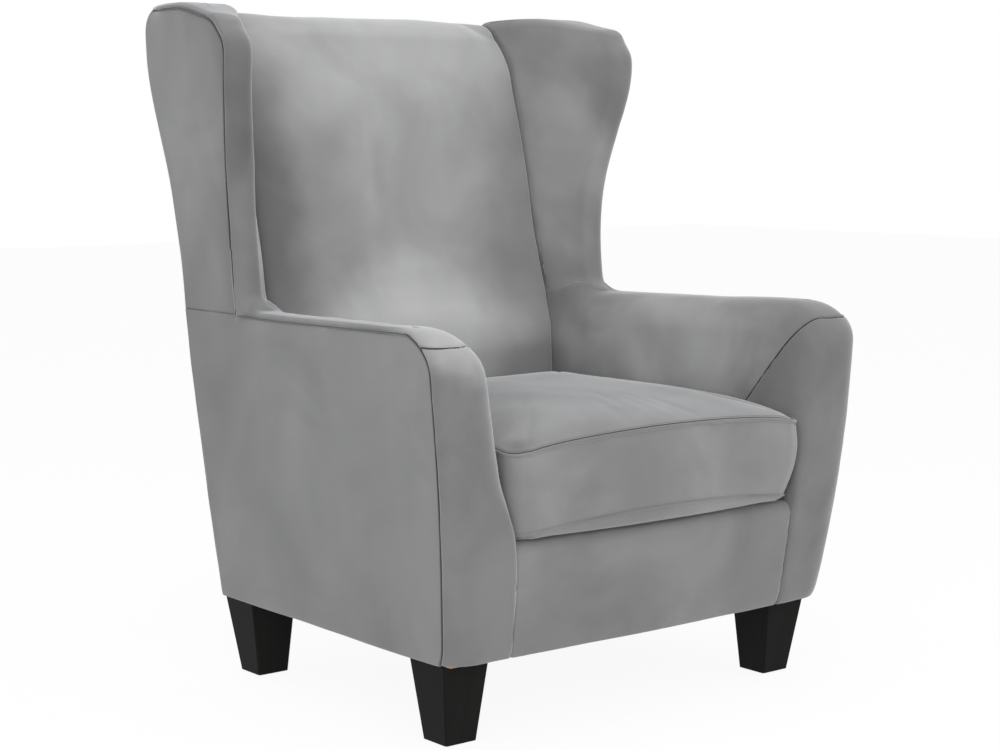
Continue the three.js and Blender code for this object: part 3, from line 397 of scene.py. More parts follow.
def shaped_top(points):
    """Rounds the wings' tops as the filling does."""
    points = np.array(points, float)
    x, y, z = points[..., 0], points[..., 1], points[..., 2]
    far = np.abs(x)
    aside = rising(far, *TOP_ASIDE)
    inward = TOP_INWARD * (1 - aside) * rising(far, *TOP_INWARD_X) * rising(z, *TOP_INWARD_Z)
    high = rising(z, WING_LOBE_Z, WING_TOP_ROUND - 2)
    rise = TOP_RISE * high - TOP_SINK * clamp((z - WING_PANEL_TOP) / (WING_HEIGHT - WING_PANEL_TOP))
    fall = TOP_FALL * smooth((TOP_FALL_FROM - y) / (TOP_FALL_FROM - TOP_FALL_TO))
    fall = fall + TIP_FALL * smooth((TIP_FALL_FROM - y) / TIP_FALL_REACH)
    turn = quarter(np.minimum((z - TOP_TURN_FROM) / TOP_TURN_HEIGHT, TOP_TURN_MOST))
    turn = turn * rising(far, *TOP_TURN_X) * rising(y, *TOP_TURN_Y)
    up = aside * rise - aside * fall * high - inward
    return points + np.stack([-np.sign(x) * TOP_TURN_SIDE * turn, -TOP_TURN_IN * turn, up], -1)


def crown_inner(y, z):
    under = np.maximum(0, wing_face_x(y, ARM_TOP) - inner_x(y, ARM_TOP))
    full = np.where(y < wing_seam_y(ARM_TOP), CROWN_INNER_WIDTH, np.minimum(under, CROWN_INNER_WIDTH))
    nose = smooth((CROWN_INNER_FROM - y) / CROWN_INNER_REACH)
    height = mix(CROWN_INNER_HEIGHT, CROWN_INNER_NOSE, nose)
    return full * quarter((z - ARM_TOP + height) / height)


def arm_edges(y, z):
    """The arm's outer and inner faces at a level, rounded towards its front."""
    front = arm_front(z)
    outer = outer_x(y, z) - CROWN_OUTER * quarter((z - ARM_TOP + CROWN_OUTER) / CROWN_OUTER)
    inner = inner_x(y, z) + crown_inner(y, z)
    wide = outer_x(front, z) - inner_x(front, z) - crown_inner(front, z)
    fullness = smooth((z - FRONT_PAD_HEIGHT) / (ARM_FULL - FRONT_PAD_HEIGHT) / NOSE_PLUMP_SHARE)
    outer_round = np.minimum(NOSE_WIDTH, wide / 2)
    inner_round = np.minimum(mix(NOSE_INNER_FOOT, NOSE_INNER, fullness), wide / 2 - NOSE_INNER_FOOT)
    outer = outer - outer_round * quarter(1 - (y - front) / NOSE_REACH)
    inner = inner + inner_round * quarter(1 - (y - front) / inner_round)
    return outer, inner


# The seam of the arm's front facing, seen from the side, from the nose down to the seat

def facing_seam(count=160):
    t = np.linspace(0, 1, count)
    y = (1 - t) ** 2 * SEAM_Y + 2 * t * (1 - t) * SEAM_BEND[0] + t * t * SEAM_FOOT_Y
    z = (1 - t) ** 2 * SEAM_TOP + 2 * t * (1 - t) * SEAM_BEND[1] + t * t * ARM_PAD_BOTTOM
    return y, z


def facing_end(z):
    """How far back the facing reaches on the arm's inner side at a real height."""
    y, height = facing_seam()
    behind = np.interp(z, height[::-1], y[::-1])
    up = smooth((z - ARM_PAD_BOTTOM + FACING_FOOT_REACH) / FACING_FOOT_REACH)
    return mix(FRONT_PAD_REAR, behind, up)


def surface_normal(fn, y, z, h=0.5):
    dy = (fn(y + h, z) - fn(y - h, z)) / (2 * h)
    dz = (fn(y, z + h) - fn(y, z - h)) / (2 * h)
    n = np.stack([np.ones_like(dy), -dy, -dz], 1)
    return unit(n)


def band_normals(line):
    """Between the outside panel's normal and the direction in which the seam bulges."""
    level = np.clip(line[:, 2], BODY_BOTTOM + FOOT_TUCK + 2, WING_PANEL_TOP)
    n = surface_normal(outer_x, line[:, 1], level)
    lean = np.cross(unit(np.gradient(line, axis=0)), n)
    hollow = (lean * (line.mean(0) - line)).sum(1, keepdims=True) > 0
    return unit(n + SEAM_LEAN * np.where(hollow, -lean, lean))


# Grids of points

def run_along(line):
    """How far along the line each of its points lies."""
    return np.concatenate([[0], np.cumsum(np.linalg.norm(np.diff(line, axis=0), axis=1))])


def at_places(places, run, values):
    """Values that belong to the points of a line, at the given lengths from its start."""
    return np.stack([np.interp(places, run, values[:, k]) for k in range(3)], -1)


def resample(line, places):
    line = np.asarray(line, float)
    return at_places(places, run_along(line), line)


def length_of(line):
    return np.linalg.norm(np.diff(np.asarray(line, float), axis=0), axis=1).sum()


def spaced(length, count, seams=(True, True)):
    """Places along a line: close together beside a seam, and even between."""
    first = SEAM_STEPS if seams[0] else SEAM_STEPS[:1]
    last = SEAM_STEPS if seams[1] else SEAM_STEPS[:1]
    middle = np.linspace(first[-1], length - last[-1], count)[1:-1]
    return np.concatenate([first, middle, length - last[::-1]])


def crowded(length, count, edge):
    """Even places along a line, closer within edge of each end."""
    close = np.linspace(0, edge, count // 4)
    middle = np.linspace(edge, length - edge, count)[1:-1]
    return np.concatenate([close, middle, length - close[::-1]])


def across(lines, count, seams=(True, True)):
    return np.array([resample(line, spaced(length_of(line), count, seams)) for line in lines])


def sections(parts, counts, seams=(True, True)):
    """One row of points through joined lines, with a fixed number of points on each."""
    row = []
    for k, (part, count) in enumerate(zip(parts, counts)):
        length = length_of(part)
        steps = SEAM_STEPS * min(1, length / 40)
        places = np.linspace(0, length, count)
        if seams[0] and k == 0:
            places = np.concatenate([steps, np.linspace(steps[-1], length, count)[1:]])
        if seams[1] and k == len(parts) - 1:
            places = np.linspace(0, length - steps[-1], count)[:-1]
            places = np.concatenate([places, length - steps[::-1]])
        points = resample(part, places)
        row.append(points if k == 0 else points[1:])
    return np.concatenate(row)


def grid_normals(grid):
    """Normals of a grid, weighted by area over neighbouring rows, so that close rows stay steady."""
    n = np.cross(np.gradient(grid, axis=0), np.gradient(grid, axis=1))
    steady = n.copy()
    for step in (1, 2, 3):
        steady[step:] += n[:-step]
        steady[:-step] += n[step:]
    return unit(steady)


def rounded_levels(low, high, step):
    """Levels up a corner that rounds over at the top, never closer than a millimetre."""
    return np.concatenate([np.arange(low, high - 2.5, step), [high - 2.2, high - 1, high]])


def facing_out(grid, away):
    """The grid, turned so that its normals point along away on the whole."""
    turned = (grid_normals(grid) * np.asarray(away, float)).sum() < 0
    return grid[::-1] if turned else grid


def hemmed(grid, all_round=True, depth=HEM, out=None):
    """Turns a grid's sides, or all its edges, inward, so that no cover ends in the open."""
    normals = grid_normals(grid) if out is None else np.broadcast_to(out, grid.shape)
    inward = -normals * depth
    if all_round:
        grid = np.concatenate([grid[:1] + inward[:1], grid, grid[-1:] + inward[-1:]])
        inward = np.concatenate([inward[:1], inward, inward[-1:]])
    return np.concatenate([grid[:, :1] + inward[:, :1], grid, grid[:, -1:] + inward[:, -1:]], 1)


def wave_field(points, size, seed, count=7):
    """A smooth field of about -1 to 1 that changes over size millimetres."""
    rng = np.random.default_rng(seed)
    total = np.zeros(points.shape[:-1])
    for _ in range(count):
        direction = rng.normal(size=3)
        direction /= np.linalg.norm(direction)
        pitch = size * rng.uniform(0.7, 1.6)
        total += np.sin(points @ direction * 2 * math.pi / pitch + rng.uniform(0, 2 * math.pi))
    return total / math.sqrt(count)


def away_from(points, line, step=2.5, batch=64):
    """Distance of each point to the nearest point of a line, and its place along the line."""
    line = resample(line, np.arange(0, length_of(line), step))
    flat = points.reshape(-1, 3)
    best = np.full(len(flat), 1e9)
    place = np.zeros(len(flat))
    for start in range(0, len(line), batch):
        d = ((flat[:, None] - line[None, start:start + batch]) ** 2).sum(2)
        nearest = d.argmin(1)
        value = d[np.arange(len(flat)), nearest]
        closer = value < best
        best[closer] = value[closer]
        place[closer] = (start + nearest[closer]) * step
    return np.sqrt(best).reshape(points.shape[:-1]), place.reshape(points.shape[:-1])


def gather_folds(place, away, gathers):
    """Small folds beside a seam. Each gather is (place, reach, height, width)."""
    folds = np.zeros(away.shape)
    wave = np.sin(place * 2 * math.pi / GATHER_PITCH + 1.7 * np.sin(place / 5.3)) - 0.3
    for middle, reach, height, width in gathers:
        folds += height * bell(place - middle, reach) * wave * bell(away, width) * smooth(away / 3)
    return folds


def seam(line, depth=SEAM_DEPTH, width=SEAM_WIDTH, gathers=()):
    return line, depth, width, gathers


def pulled(grid, seams, uneven=0.8, size=170, seed=1, stitched=False):
    """Draws a cover in along its seams and leaves it slightly uneven between them."""
    along = grid_normals(grid)
    move = uneven * wave_field(grid, size, seed)
    move = move + FINE_SHARE * uneven * wave_field(grid, size * FINE_SIZE, seed + 1)
    calm = np.ones(grid.shape[:-1])
    for line, depth, width, gathers in seams:
        d, place = away_from(grid, line)
        move = move - depth * bell(d, width) - SEAM_CREASE * depth * bell(3 * d, width)
        if line is ARM_SEAM or line is WING_SEAM:
            common = at_places(place, run_along(line), band_normals(line))
            along = along + bell(d, SHARED_REACH)[..., None] * (common - along)
            if stitched:
                move = move - 0.5 * bell(d - STITCH_AWAY, 1.0) + 0.3 * bell(d - 3.4, 1.6)
        calm = np.minimum(calm, smooth(d / CALM_REACH))
        move = move + gather_folds(place, d, gathers)
    keep = move * np.where(move > 0, calm, 1)
    return grid + unit(along) * keep[..., None]


# Meshes

def make_object(name, points, faces, side=LEFT, material=None):
    mesh = bpy.data.meshes.new(name)
    points = np.asarray(points, float) * MM
    if side == RIGHT:
        points = points * [-1, 1, 1]
        faces = [tuple(reversed(face)) for face in faces]
    mesh.from_pydata(points.tolist(), [], [tuple(int(i) for i in face) for face in faces])
    mesh.validate()
    for polygon in mesh.polygons:
        polygon.use_smooth = True
    piece = bpy.data.objects.new(name, mesh)
    bpy.context.scene.collection.objects.link(piece)
    if material:
        mesh.materials.append(material)
    return piece


def grid_faces(rows, cols, around=False):
    faces = []
    for r in range(rows - 1):
        for c in range(cols if around else cols - 1):
            d = (c + 1) % cols
            faces.append((r * cols + c, (r + 1) * cols + c, (r + 1) * cols + d, r * cols + d))
    return faces


def cover(name, grid, side, material, thick=COVER_THICK, out=None):
    """A cover of real thickness over a grid whose normals point outward."""
    rows, cols = grid.shape[:2]
    normals = grid_normals(grid) if out is None else np.broadcast_to(out, grid.shape)
    count = rows * cols
    outside = grid_faces(rows, cols)
    faces = outside + [tuple(i + count for i in reversed(face)) for face in outside]
    index = np.arange(count).reshape(rows, cols)
    edge = [*index[0], *index[1:, -1], *index[-1, -2::-1], *index[-2:0:-1, 0]]
    faces += [(a, b, b + count, a + count) for a, b in zip(edge, edge[1:] + edge[:1])]
    points = np.concatenate([grid.reshape(-1, 3), (grid - normals * thick).reshape(-1, 3)])
    return make_object(name, points, faces, side, material)


def finish_piece(piece, body, nodes):
    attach(piece, body)
    if nodes:
        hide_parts(*nodes)
    return piece


# Materials

def fill_in(node, **values):
    """Sets a node's inputs by their names, with _ for a space."""
    for key, value in values.items():
        node.inputs[key.replace("_", " ")].default_value = value


SPOT_NOISE = 11
SPOT_WARP = 0.09


class Graph:
    """Node graph of one material, with the object's own coordinates in metres."""

    def __init__(self, name):
        self.material = bpy.data.materials.new(name)
        self.material.use_nodes = True
        self.tree = self.material.node_tree
        self.shader = self.tree.nodes["Principled BSDF"]
        self.place = self.add("ShaderNodeTexCoord").outputs["Object"]
        self.warped = None

    def add(self, kind, **settings):
        node = self.tree.nodes.new(kind)
        for key, value in settings.items():
            setattr(node, key, value)
        return node

    def link(self, output, socket):
        self.tree.links.new(output, socket)

    def stretched(self, scale):
        node = self.add("ShaderNodeMapping")
        self.link(self.place, node.inputs["Vector"])
        fill_in(node, Scale=scale)
        return node.outputs["Vector"]

    def noise(self, scale, detail=2.0, rough=0.5, twist=0.0, vector=None):
        node = self.add("ShaderNodeTexNoise")
        self.link(vector or self.place, node.inputs["Vector"])
        fill_in(node, Scale=scale, Detail=detail, Roughness=rough, Distortion=twist)
        return node.outputs["Fac"]

    def wave(self, scale, axis):
        node = self.add("ShaderNodeTexWave", wave_type="BANDS", bands_direction=axis, wave_profile="SIN")
        self.link(self.place, node.inputs["Vector"])
        fill_in(node, Scale=scale)
        return node.outputs["Fac"]

    def ramp(self, value, stops):
        node = self.add("ShaderNodeValToRGB")
        self.link(value, node.inputs["Fac"])
        for element, (at, color) in zip(node.color_ramp.elements, stops):
            element.position = at
            element.color = (*color, 1)
        return node.outputs["Color"]

    def multiplied(self, factor, a, b):
        node = self.add("ShaderNodeMix", data_type="RGBA", blend_type="MULTIPLY")
        fill_in(node, Factor=factor)
        self.link(a, node.inputs["A"])
        self.link(b, node.inputs["B"])
        return node.outputs["Result"]

    def product(self, a, b):
        node = self.add("ShaderNodeMath", operation="MULTIPLY")
        self.link(a, node.inputs[0])
        self.link(b, node.inputs[1])
        return node.outputs["Value"]

    def span(self, value, low, high):
        node = self.add("ShaderNodeMapRange")
        self.link(value, node.inputs["Value"])
        fill_in(node, To_Min=low, To_Max=high)
        return node.outputs["Result"]

    def finish(self, color, rough, bumps, **values):
        """Links colour, roughness and bumps to the shader and sets its other values."""
        self.link(color, self.shader.inputs["Base Color"])
        self.link(rough, self.shader.inputs["Roughness"])
        fill_in(self.shader, **values)
        self.bump(bumps)
        return self.material

    def warp(self):
        """The place, shifted by a soft noise, so that no spot has an even outline."""
        ripple = self.add("ShaderNodeTexNoise")
        self.link(self.place, ripple.inputs["Vector"])
        fill_in(ripple, Scale=SPOT_NOISE, Detail=3)
        shift = self.add("ShaderNodeVectorMath", operation="MULTIPLY_ADD")
        self.link(ripple.outputs["Color"], shift.inputs[0])
        shift.inputs[1].default_value = (SPOT_WARP, SPOT_WARP, SPOT_WARP)
        self.link(self.place, shift.inputs[2])
        return shift.outputs["Vector"]

    def spot(self, color, middle, size, gain):
        """Paints light or shade into the colour round a place: lighter for a gain above 1, darker below it.
        """
        if self.warped is None:
            self.warped = self.warp()
        node = self.add("ShaderNodeMapping", vector_type="TEXTURE")
        self.link(self.warped, node.inputs["Vector"])
        fill_in(node, Location=[c * MM + SPOT_WARP / 2 for c in middle], Scale=[c * MM for c in size])
        reach = self.add("ShaderNodeVectorMath", operation="LENGTH")
        self.link(node.outputs["Vector"], reach.inputs[0])
        ramp = self.add("ShaderNodeMapRange", interpolation_type="SMOOTHSTEP")
        self.link(reach.outputs["Value"], ramp.inputs["Value"])
        fill_in(ramp, From_Min=0.25, From_Max=1.0, To_Min=gain, To_Max=1.0)
        scale = self.add("ShaderNodeVectorMath", operation="SCALE")
        self.link(color, scale.inputs[0])
        self.link(ramp.outputs["Result"], scale.inputs["Scale"])
        return scale.outputs["Vector"]

    def bump(self, heights):
        """Bump from (height, strength, distance) layers, finest last."""
        normal = None
        for height, strength, distance in heights:
            node = self.add("ShaderNodeBump")
            self.link(height, node.inputs["Height"])
            fill_in(node, Strength=strength, Distance=distance)
            if normal:
                self.link(normal, node.inputs["Normal"])
            normal = node.outputs["Normal"]
        self.link(normal, self.shader.inputs["Normal"])


def velvet(name, tone, nap_size=5.5, painted_light_and_shade_spots=()):
    """Short-pile velvet: soft clouds where the pile has been brushed, a fine grain and a pale sheen.
    Each spot is (middle, half size, gain), a painted highlight where the gain is above 1 and painted shade
    where it is below."""
    g = Graph(name)
    clouds = g.noise(nap_size, 3.0, 0.55, 0.9)
    strokes = g.noise(9.0, 2.0, 0.5, 0.6, g.stretched((1.0, 1.0, 0.35)))
    pile = g.noise(1400.0, 1.0, 0.6)
    dark, light = (tuple(c * k for c in tone) for k in (0.88, 1.12))
    base = g.ramp(clouds, [(0.34, dark), (0.66, light)])
    brushed = g.ramp(strokes, [(0.36, (0.93, 0.93, 0.935)), (0.64, (1.0, 1.0, 1.0))])
    grain = g.ramp(pile, [(0.3, (0.9, 0.9, 0.9)), (0.7, (1.0, 1.0, 1.0))])
    color = g.multiplied(0.8, g.multiplied(1.0, base, brushed), grain)
    # Painted highlights and painted shade at given places on the part.
    for spot in painted_light_and_shade_spots:
        color = g.spot(color, *spot)
    bumps = [(strokes, 0.12, 0.004), (pile, 0.22, 0.0005)]
    sheen = {"Sheen_Weight": 0.55, "Sheen_Roughness": 0.42, "Sheen_Tint": (0.97, 0.98, 1.0, 1)}
    return g.finish(color, g.span(clouds, 0.62, 0.8), bumps, Specular_IOR_Level=0.18, **sheen)


def lining_cloth():
    g = Graph("lining_cloth")
    weave = g.product(g.wave(420.0, "X"), g.wave(420.0, "Y"))
    color = g.ramp(weave, [(0.2, (0.022, 0.022, 0.024)), (0.9, (0.062, 0.062, 0.066))])
    return g.finish(color, g.span(g.noise(30.0), 0.8, 0.95), [(weave, 0.5, 0.0004)])


def wood(name, dark, light, rough, gloss):
    """Wood with its grain along Z."""
    g = Graph(name)
    grain = g.noise(26.0, 4.0, 0.6, 0.5, g.stretched((1.0, 1.0, 0.09)))
    pores = g.noise(230.0, 2.0, 0.6, 0.2, g.stretched((1.0, 1.0, 0.05)))
    color = g.ramp(grain, [(0.32, dark), (0.7, light)])
    bumps = [(grain, 0.1, 0.0006), (pores, 0.16, 0.00025)]
    roughness = g.span(grain, rough * 0.85, rough * 1.2)
    return g.finish(color, roughness, bumps, Coat_Roughness=0.28, Specular_IOR_Level=gloss)


def textured(name, pattern_of, stops, rough, raised, metallic=0.0):
    """A surface that one pattern colours, roughens and raises."""
    g = Graph(name)
    pattern = pattern_of(g)
    color = g.ramp(pattern, stops)
    return g.finish(color, g.span(pattern, *rough), [(pattern, *raised)], Metallic=metallic)


VELVET_TONE = (0.187, 0.187, 0.187)


# A lighter or darker copy of the one velvet tone: the shares given to the parts paint the light and shade
# that falls on them.
def toned(share):
    return tuple(c * share for c in VELVET_TONE)


VELVET = velvet("velvet_pile", VELVET_TONE)
# A near-black copy of the velvet for strips of painted shade in the seams' grooves.
SEAM_SHADE_VELVET = velvet("velvet_seam_shade", toned(0.22))
# Facing velvet, darker than the base tone as painted shade, with painted highlights over the tops of both
# noses.
FACING_VELVET = velvet("velvet_facing", toned(0.87), 5.5, [
    ((-345, -350, 560), (85, 105, 62), 2.0),
    ((350, -345, 572), (60, 90, 45), 1.3),
])
# Arm velvet, a little darker than the base tone as painted shade, with a painted highlight on the left
# arm's nose and painted light over the right arm's shaded inner face.
ARM_VELVET = velvet("velvet_arm", toned(0.9), 5.5, [
    ((-350, -330, 572), (85, 110, 55), 2.1),
    ((296, -60, 495), (120, 330, 120), 2.0),
])
# Wing velvet, with painted light on the right wing's inner face and painted shade on the left wing near its
# front edge.
WING_VELVET = velvet("velvet_wing", toned(0.98), 5.0, [
    ((310, 230, 800), (110, 130, 230), 1.55),
    ((300, 200, 620), (90, 120, 90), 1.2),
    ((-375, 140, 850), (70, 80, 170), 0.72),
])
# Back velvet, lighter than the base tone as painted light, with a painted highlight along the top, painted
# light low down and in the middle, and painted shade down the left side beside the wing.
BACK_VELVET = velvet("velvet_back", toned(1.22), 4.5, [
    ((0, 300, 990), (400, 180, 220), 1.55),
    ((0, 200, 520), (260, 170, 190), 1.9),
    ((30, 250, 750), (220, 150, 160), 1.35),
    ((-260, 270, 700), (90, 150, 300), 0.62),
])
# Cushion velvet, lighter than the base tone as painted light, with painted shade over the top, a painted
# highlight along the front and painted shade at the left front corner.
CUSHION_VELVET = velvet("velvet_cushion", toned(1.14), 6.5, [
    ((30, -110, 455), (330, 225, 110), 0.56),
    ((-40, -320, 455), (280, 70, 60), 1.12),
    ((-258, -345, 430), (48, 40, 30), 0.62),
])
# Outside panel velvet, a little darker than the base tone as painted shade, with painted light on the left
# outside wing panel.
PANEL_VELVET = velvet("velvet_panel", toned(0.96), 4.2, [
    ((-398, 280, 800), (60, 150, 240), 1.22),
])
LINING = lining_cloth()
TIMBER = wood("planed_hardwood", (0.38, 0.235, 0.11), (0.56, 0.37, 0.19), 0.6, 0.4)
BLACK_WOOD = wood("black_lacquer", (0.0045, 0.0042, 0.004), (0.0095, 0.009, 0.0085), 0.5, 0.07)
STEEL = textured(
    "drawn_steel", lambda g: g.noise(60.0, 3.0, 0.6, 0.0, g.stretched((1.0, 0.08, 1.0))),
    [(0.3, (0.36, 0.37, 0.39)), (0.7, (0.5, 0.51, 0.53))], (0.25, 0.42), (0.1, 0.0002), 1.0)
FOAM = textured(
    "cut_foam", lambda g: g.noise(900.0, 2.0, 0.7),
    [(0.3, (0.5, 0.45, 0.32)), (0.7, (0.74, 0.69, 0.53))], (0.85, 0.98), (0.6, 0.0006))
WEBBING = textured(
    "webbing_strap", lambda g: g.wave(260.0, "X"),
    [(0.2, (0.06, 0.047, 0.034)), (0.8, (0.12, 0.098, 0.074))], (0.78, 0.94), (0.5, 0.0005))
NYLON = textured(
    "dark_nylon", lambda g: g.noise(320.0, 2.0, 0.5),
    [(0.3, (0.03, 0.03, 0.033)), (0.7, (0.055, 0.055, 0.06))], (0.42, 0.58), (0.12, 0.0003))
THREAD = textured(
    "sewing_thread", lambda g: g.wave(900.0, "DIAGONAL"),
    [(0.2, (0.14, 0.141, 0.146)), (0.8, (0.24, 0.242, 0.25))], (0.5, 0.7), (0.3, 0.0002))

SLOT_MATERIALS = {
    "velvet": VELVET,
    "panel_velvet": PANEL_VELVET,
    "lining": LINING,
    "foam": FOAM,
    "zip": NYLON,
    "timber": TIMBER,
    "black_wood": BLACK_WOOD,
    "steel": STEEL,
    "webbing": WEBBING,
}


def dress_nodes():
    """Every node of the frame gets the material of its slot."""
    for part in frame["record"]["subparts"]:
        node = frame["nodes"][part["node"]]
        node.data.materials.clear()
        node.data.materials.append(SLOT_MATERIALS[part["material_slot"]])


# Camera and stage

CAMERA_PLACE = (-1.9565, -2.4370, 0.8220)
CAMERA_TURN = (83.4131, 0, -38.6435)
CAMERA_LENS = 73.384


def make_camera():
    data = bpy.data.cameras.new("camera")
    data.lens = CAMERA_LENS
    data.sensor_width = 36
    camera = bpy.data.objects.new("camera", data)
    camera.location = CAMERA_PLACE
    camera.rotation_euler = [math.radians(a) for a in CAMERA_TURN]
    bpy.context.scene.collection.objects.link(camera)
    bpy.context.scene.camera = camera


def area_light(name, place, size, power, aim=(0, 0, 0.5)):
    data = bpy.data.lights.new(name, "AREA")
    data.shape = "RECTANGLE"
    data.size, data.size_y = size
    data.energy = power
    light = bpy.data.objects.new(name, data)
    light.location = place
    direction = np.array(aim) - np.array(place)
    flat = math.hypot(direction[0], direction[1])
    turn = math.atan2(-direction[0], direction[1])
    light.rotation_euler = (math.atan2(flat, -direction[2]), 0, turn)
    bpy.context.scene.collection.objects.link(light)


def background_rays(tree):
    """1 for the rays that should meet the pale background, 0 for the light that falls on the chair."""
    path = tree.nodes.new("ShaderNodeLightPath")
    rays = path.outputs["Is Camera Ray"]
    for kind in ("Is Glossy Ray", "Is Transmission Ray"):
        add = tree.nodes.new("ShaderNodeMath")
        add.operation = "MAXIMUM"
        tree.links.new(rays, add.inputs[0])
        tree.links.new(path.outputs[kind], add.inputs[1])
        rays = add.outputs["Value"]
    return rays


def mixed_surface(tree, share, first, second, target):
    """Mixes two shaders by a share and links them to the tree's output."""
    blend = tree.nodes.new("ShaderNodeMixShader")
    tree.links.new(share, blend.inputs["Fac"])
    tree.links.new(first.outputs[0], blend.inputs[1])
    tree.links.new(second.outputs[0], blend.inputs[2])
    tree.links.new(blend.outputs[0], tree.nodes[target].inputs["Surface"])


WORLD_LIGHT = 0.66
FLOOR_SHOW = 0.93
FLOOR_HALF = 12


def make_world():
    world = bpy.data.worlds.new("studio")
    world.use_nodes = True
    bpy.context.scene.world = world
    tree = world.node_tree
    soft = tree.nodes["Background"]
    fill_in(soft, Color=(0.985, 0.99, 1.0, 1), Strength=WORLD_LIGHT)
    white = tree.nodes.new("ShaderNodeBackground")
    fill_in(white, Color=(1, 1, 1, 1), Strength=1.0)
    mixed_surface(tree, background_rays(tree), soft, white, "World Output")


def floor_material():
    material = bpy.data.materials.new("pale_floor")
    material.use_nodes = True
    tree = material.node_tree
    tree.nodes.remove(tree.nodes["Principled BSDF"])
    matte = tree.nodes.new("ShaderNodeBsdfDiffuse")
    fill_in(matte, Color=(0.97, 0.97, 0.97, 1))
    glow = tree.nodes.new("ShaderNodeEmission")
    fill_in(glow, Color=(1, 1, 1, 1))
    share = tree.nodes.new("ShaderNodeMath")
    share.operation = "MULTIPLY"
    share.inputs[1].default_value = FLOOR_SHOW
    tree.links.new(background_rays(tree), share.inputs[0])
    mixed_surface(tree, share.outputs[0], matte, glow, "Material Output")
    return material


def make_floor():
    mesh = bpy.data.meshes.new("floor")
    bm = bmesh.new()
    bmesh.ops.create_grid(bm, x_segments=4, y_segments=4, size=FLOOR_HALF)
    bm.to_mesh(mesh)
    bm.free()
    mesh.materials.append(floor_material())
    floor = bpy.data.objects.new("floor", mesh)
    bpy.context.scene.collection.objects.link(floor)


# Each light: name, place, size, power
LIGHTS = [
    ("key_light", (-2.4, -2.5, 1.7), (2.0, 2.0), 58),
    ("fill_light", (1.6, -3.0, 1.6), (2.2, 2.2), 16),
    ("top_light", (-0.2, -0.2, 3.0), (2.4, 2.4), 27),
]


def make_stage():
    make_camera()
    make_world()
    make_floor()
    for light in LIGHTS:
        area_light(*light)
    bpy.context.scene.view_settings.view_transform = "Standard"


# Seam lines of the left half

def as_line(x, y, z):
    return np.stack(np.broadcast_arrays(x, y, z), 1).astype(float)


def arm_front_seam():
    """Up the front of the outside arm panel, over its corner and back along the top to the wing."""
    corner = np.sin(np.linspace(0.02, math.pi / 2, 40))
    z = np.concatenate([np.linspace(BODY_BOTTOM + 1, ARM_FULL, 60), mix(ARM_FULL, PANEL_TOP, corner)])
    y = arm_seam_y(z)
    up = as_line(outer_x(y, z), y, lifted(y, z))
    back = np.linspace(y[-1], wing_seam_y(ARM_TOP), 60)[1:]
    top = as_line(outer_x(back, PANEL_TOP), back, lifted(back, PANEL_TOP))
    return np.concatenate([up, top])


def wing_front_seam():
    """Up the front edge of the outside wing panel, over its corner and back along the top."""
    corner = WING_LOBE_Z + WING_TOP_ROUND * np.sin(np.linspace(0.03, math.pi / 2, 30))
    z = np.concatenate([np.linspace(PANEL_TOP, WING_LOBE_Z, 80), corner])
    y = wing_seam_y(z)
    up = as_line(outer_x(y, z), y, z)
    back = np.linspace(y[-1], rear_y(WING_PANEL_TOP), 30)[1:]
    top = as_line(outer_x(back, WING_PANEL_TOP), back, WING_PANEL_TOP)
    return np.concatenate([up, top])


def facing_line():
    """Over the nose of the arm, then down its inner side to the seat."""
    y, z = facing_seam()
    level = settled(SEAM_Y, SEAM_TOP)
    front = arm_front(level)
    outer = np.linspace(front + NOSE_REACH, front, 14)
    nose_out = as_line(arm_edges(outer, level)[0], outer, lifted(outer, level))
    inner = np.linspace(front, SEAM_Y, 10)
    nose_in = as_line(arm_edges(inner, level)[1], inner, lifted(inner, level))
    down = as_line(arm_edges(y, settled(y, z))[1], y, z)
    return np.concatenate([nose_out, nose_in, down[1:]])


def back_seam(count=120):
    z = np.linspace(ARM_PAD_BOTTOM, BACK_HEIGHT - BACK_TOP_HEIGHT, count)
    up = as_line(seam_x(z), seam_y(z), z)
    top = BACK_HEIGHT - BACK_TOP_HEIGHT * (1 - np.sin(quarter_turn(12)[1:]))
    over = as_line(seam_x(top), np.minimum(seam_y(top), rear_y(top) - SEAM_FROM_REAR), top)
    rear = np.linspace(over[-1][1], rear_y(BACK_HEIGHT), 10)[1:]
    end = as_line(seam_x(BACK_HEIGHT), rear, BACK_HEIGHT)
    return np.concatenate([up, over, end])


ARM_SEAM = arm_front_seam()
WING_SEAM = shaped_top(wing_front_seam())
FACING_SEAM = facing_line()
BACK_SEAM = back_seam()


# Raised seams: a narrow swept band, with its stitches in the grooves beside it

def swept(line, normals, closed=False, step=3.0):
    """Even points along a line that lies on a surface, with the directions ahead, up and aside."""
    total = length_of(line)
    places = np.linspace(0, total, int(total / step) + 1)
    points = resample(line, places)
    up = at_places(places, run_along(line), normals)
    ahead = np.gradient(points, axis=0)
    if closed:
        points, up, ahead = points[:-1], up[:-1], ahead[:-1]
    ahead = unit(ahead)
    up = unit(up - ahead * (up * ahead).sum(1, keepdims=True))
    return points, ahead, up, np.cross(ahead, up)


def seam_band(name, line, normals, profile, side, body, closed=False, material=VELVET):
    points, _, up, aside = swept(line, normals, closed)
    grid = np.stack([points + aside * offset + up * rise for offset, rise in profile], 1)
    rows, cols = grid.shape[:2]
    faces = []
    for r in range(rows if closed else rows - 1):
        n = ((r + 1) % rows) * cols
        for c in range(cols):
            d = (c + 1) % cols
            faces.append((r * cols + c, r * cols + d, n + d, n + c))
    if not closed:
        faces.append(tuple(range(cols))[::-1])
        faces.append(tuple(range((rows - 1) * cols, rows * cols)))
    piece = make_object(name, grid.reshape(-1, 3), faces, side, material)
    tidy_faces(piece)
    finish_piece(piece, body, [])


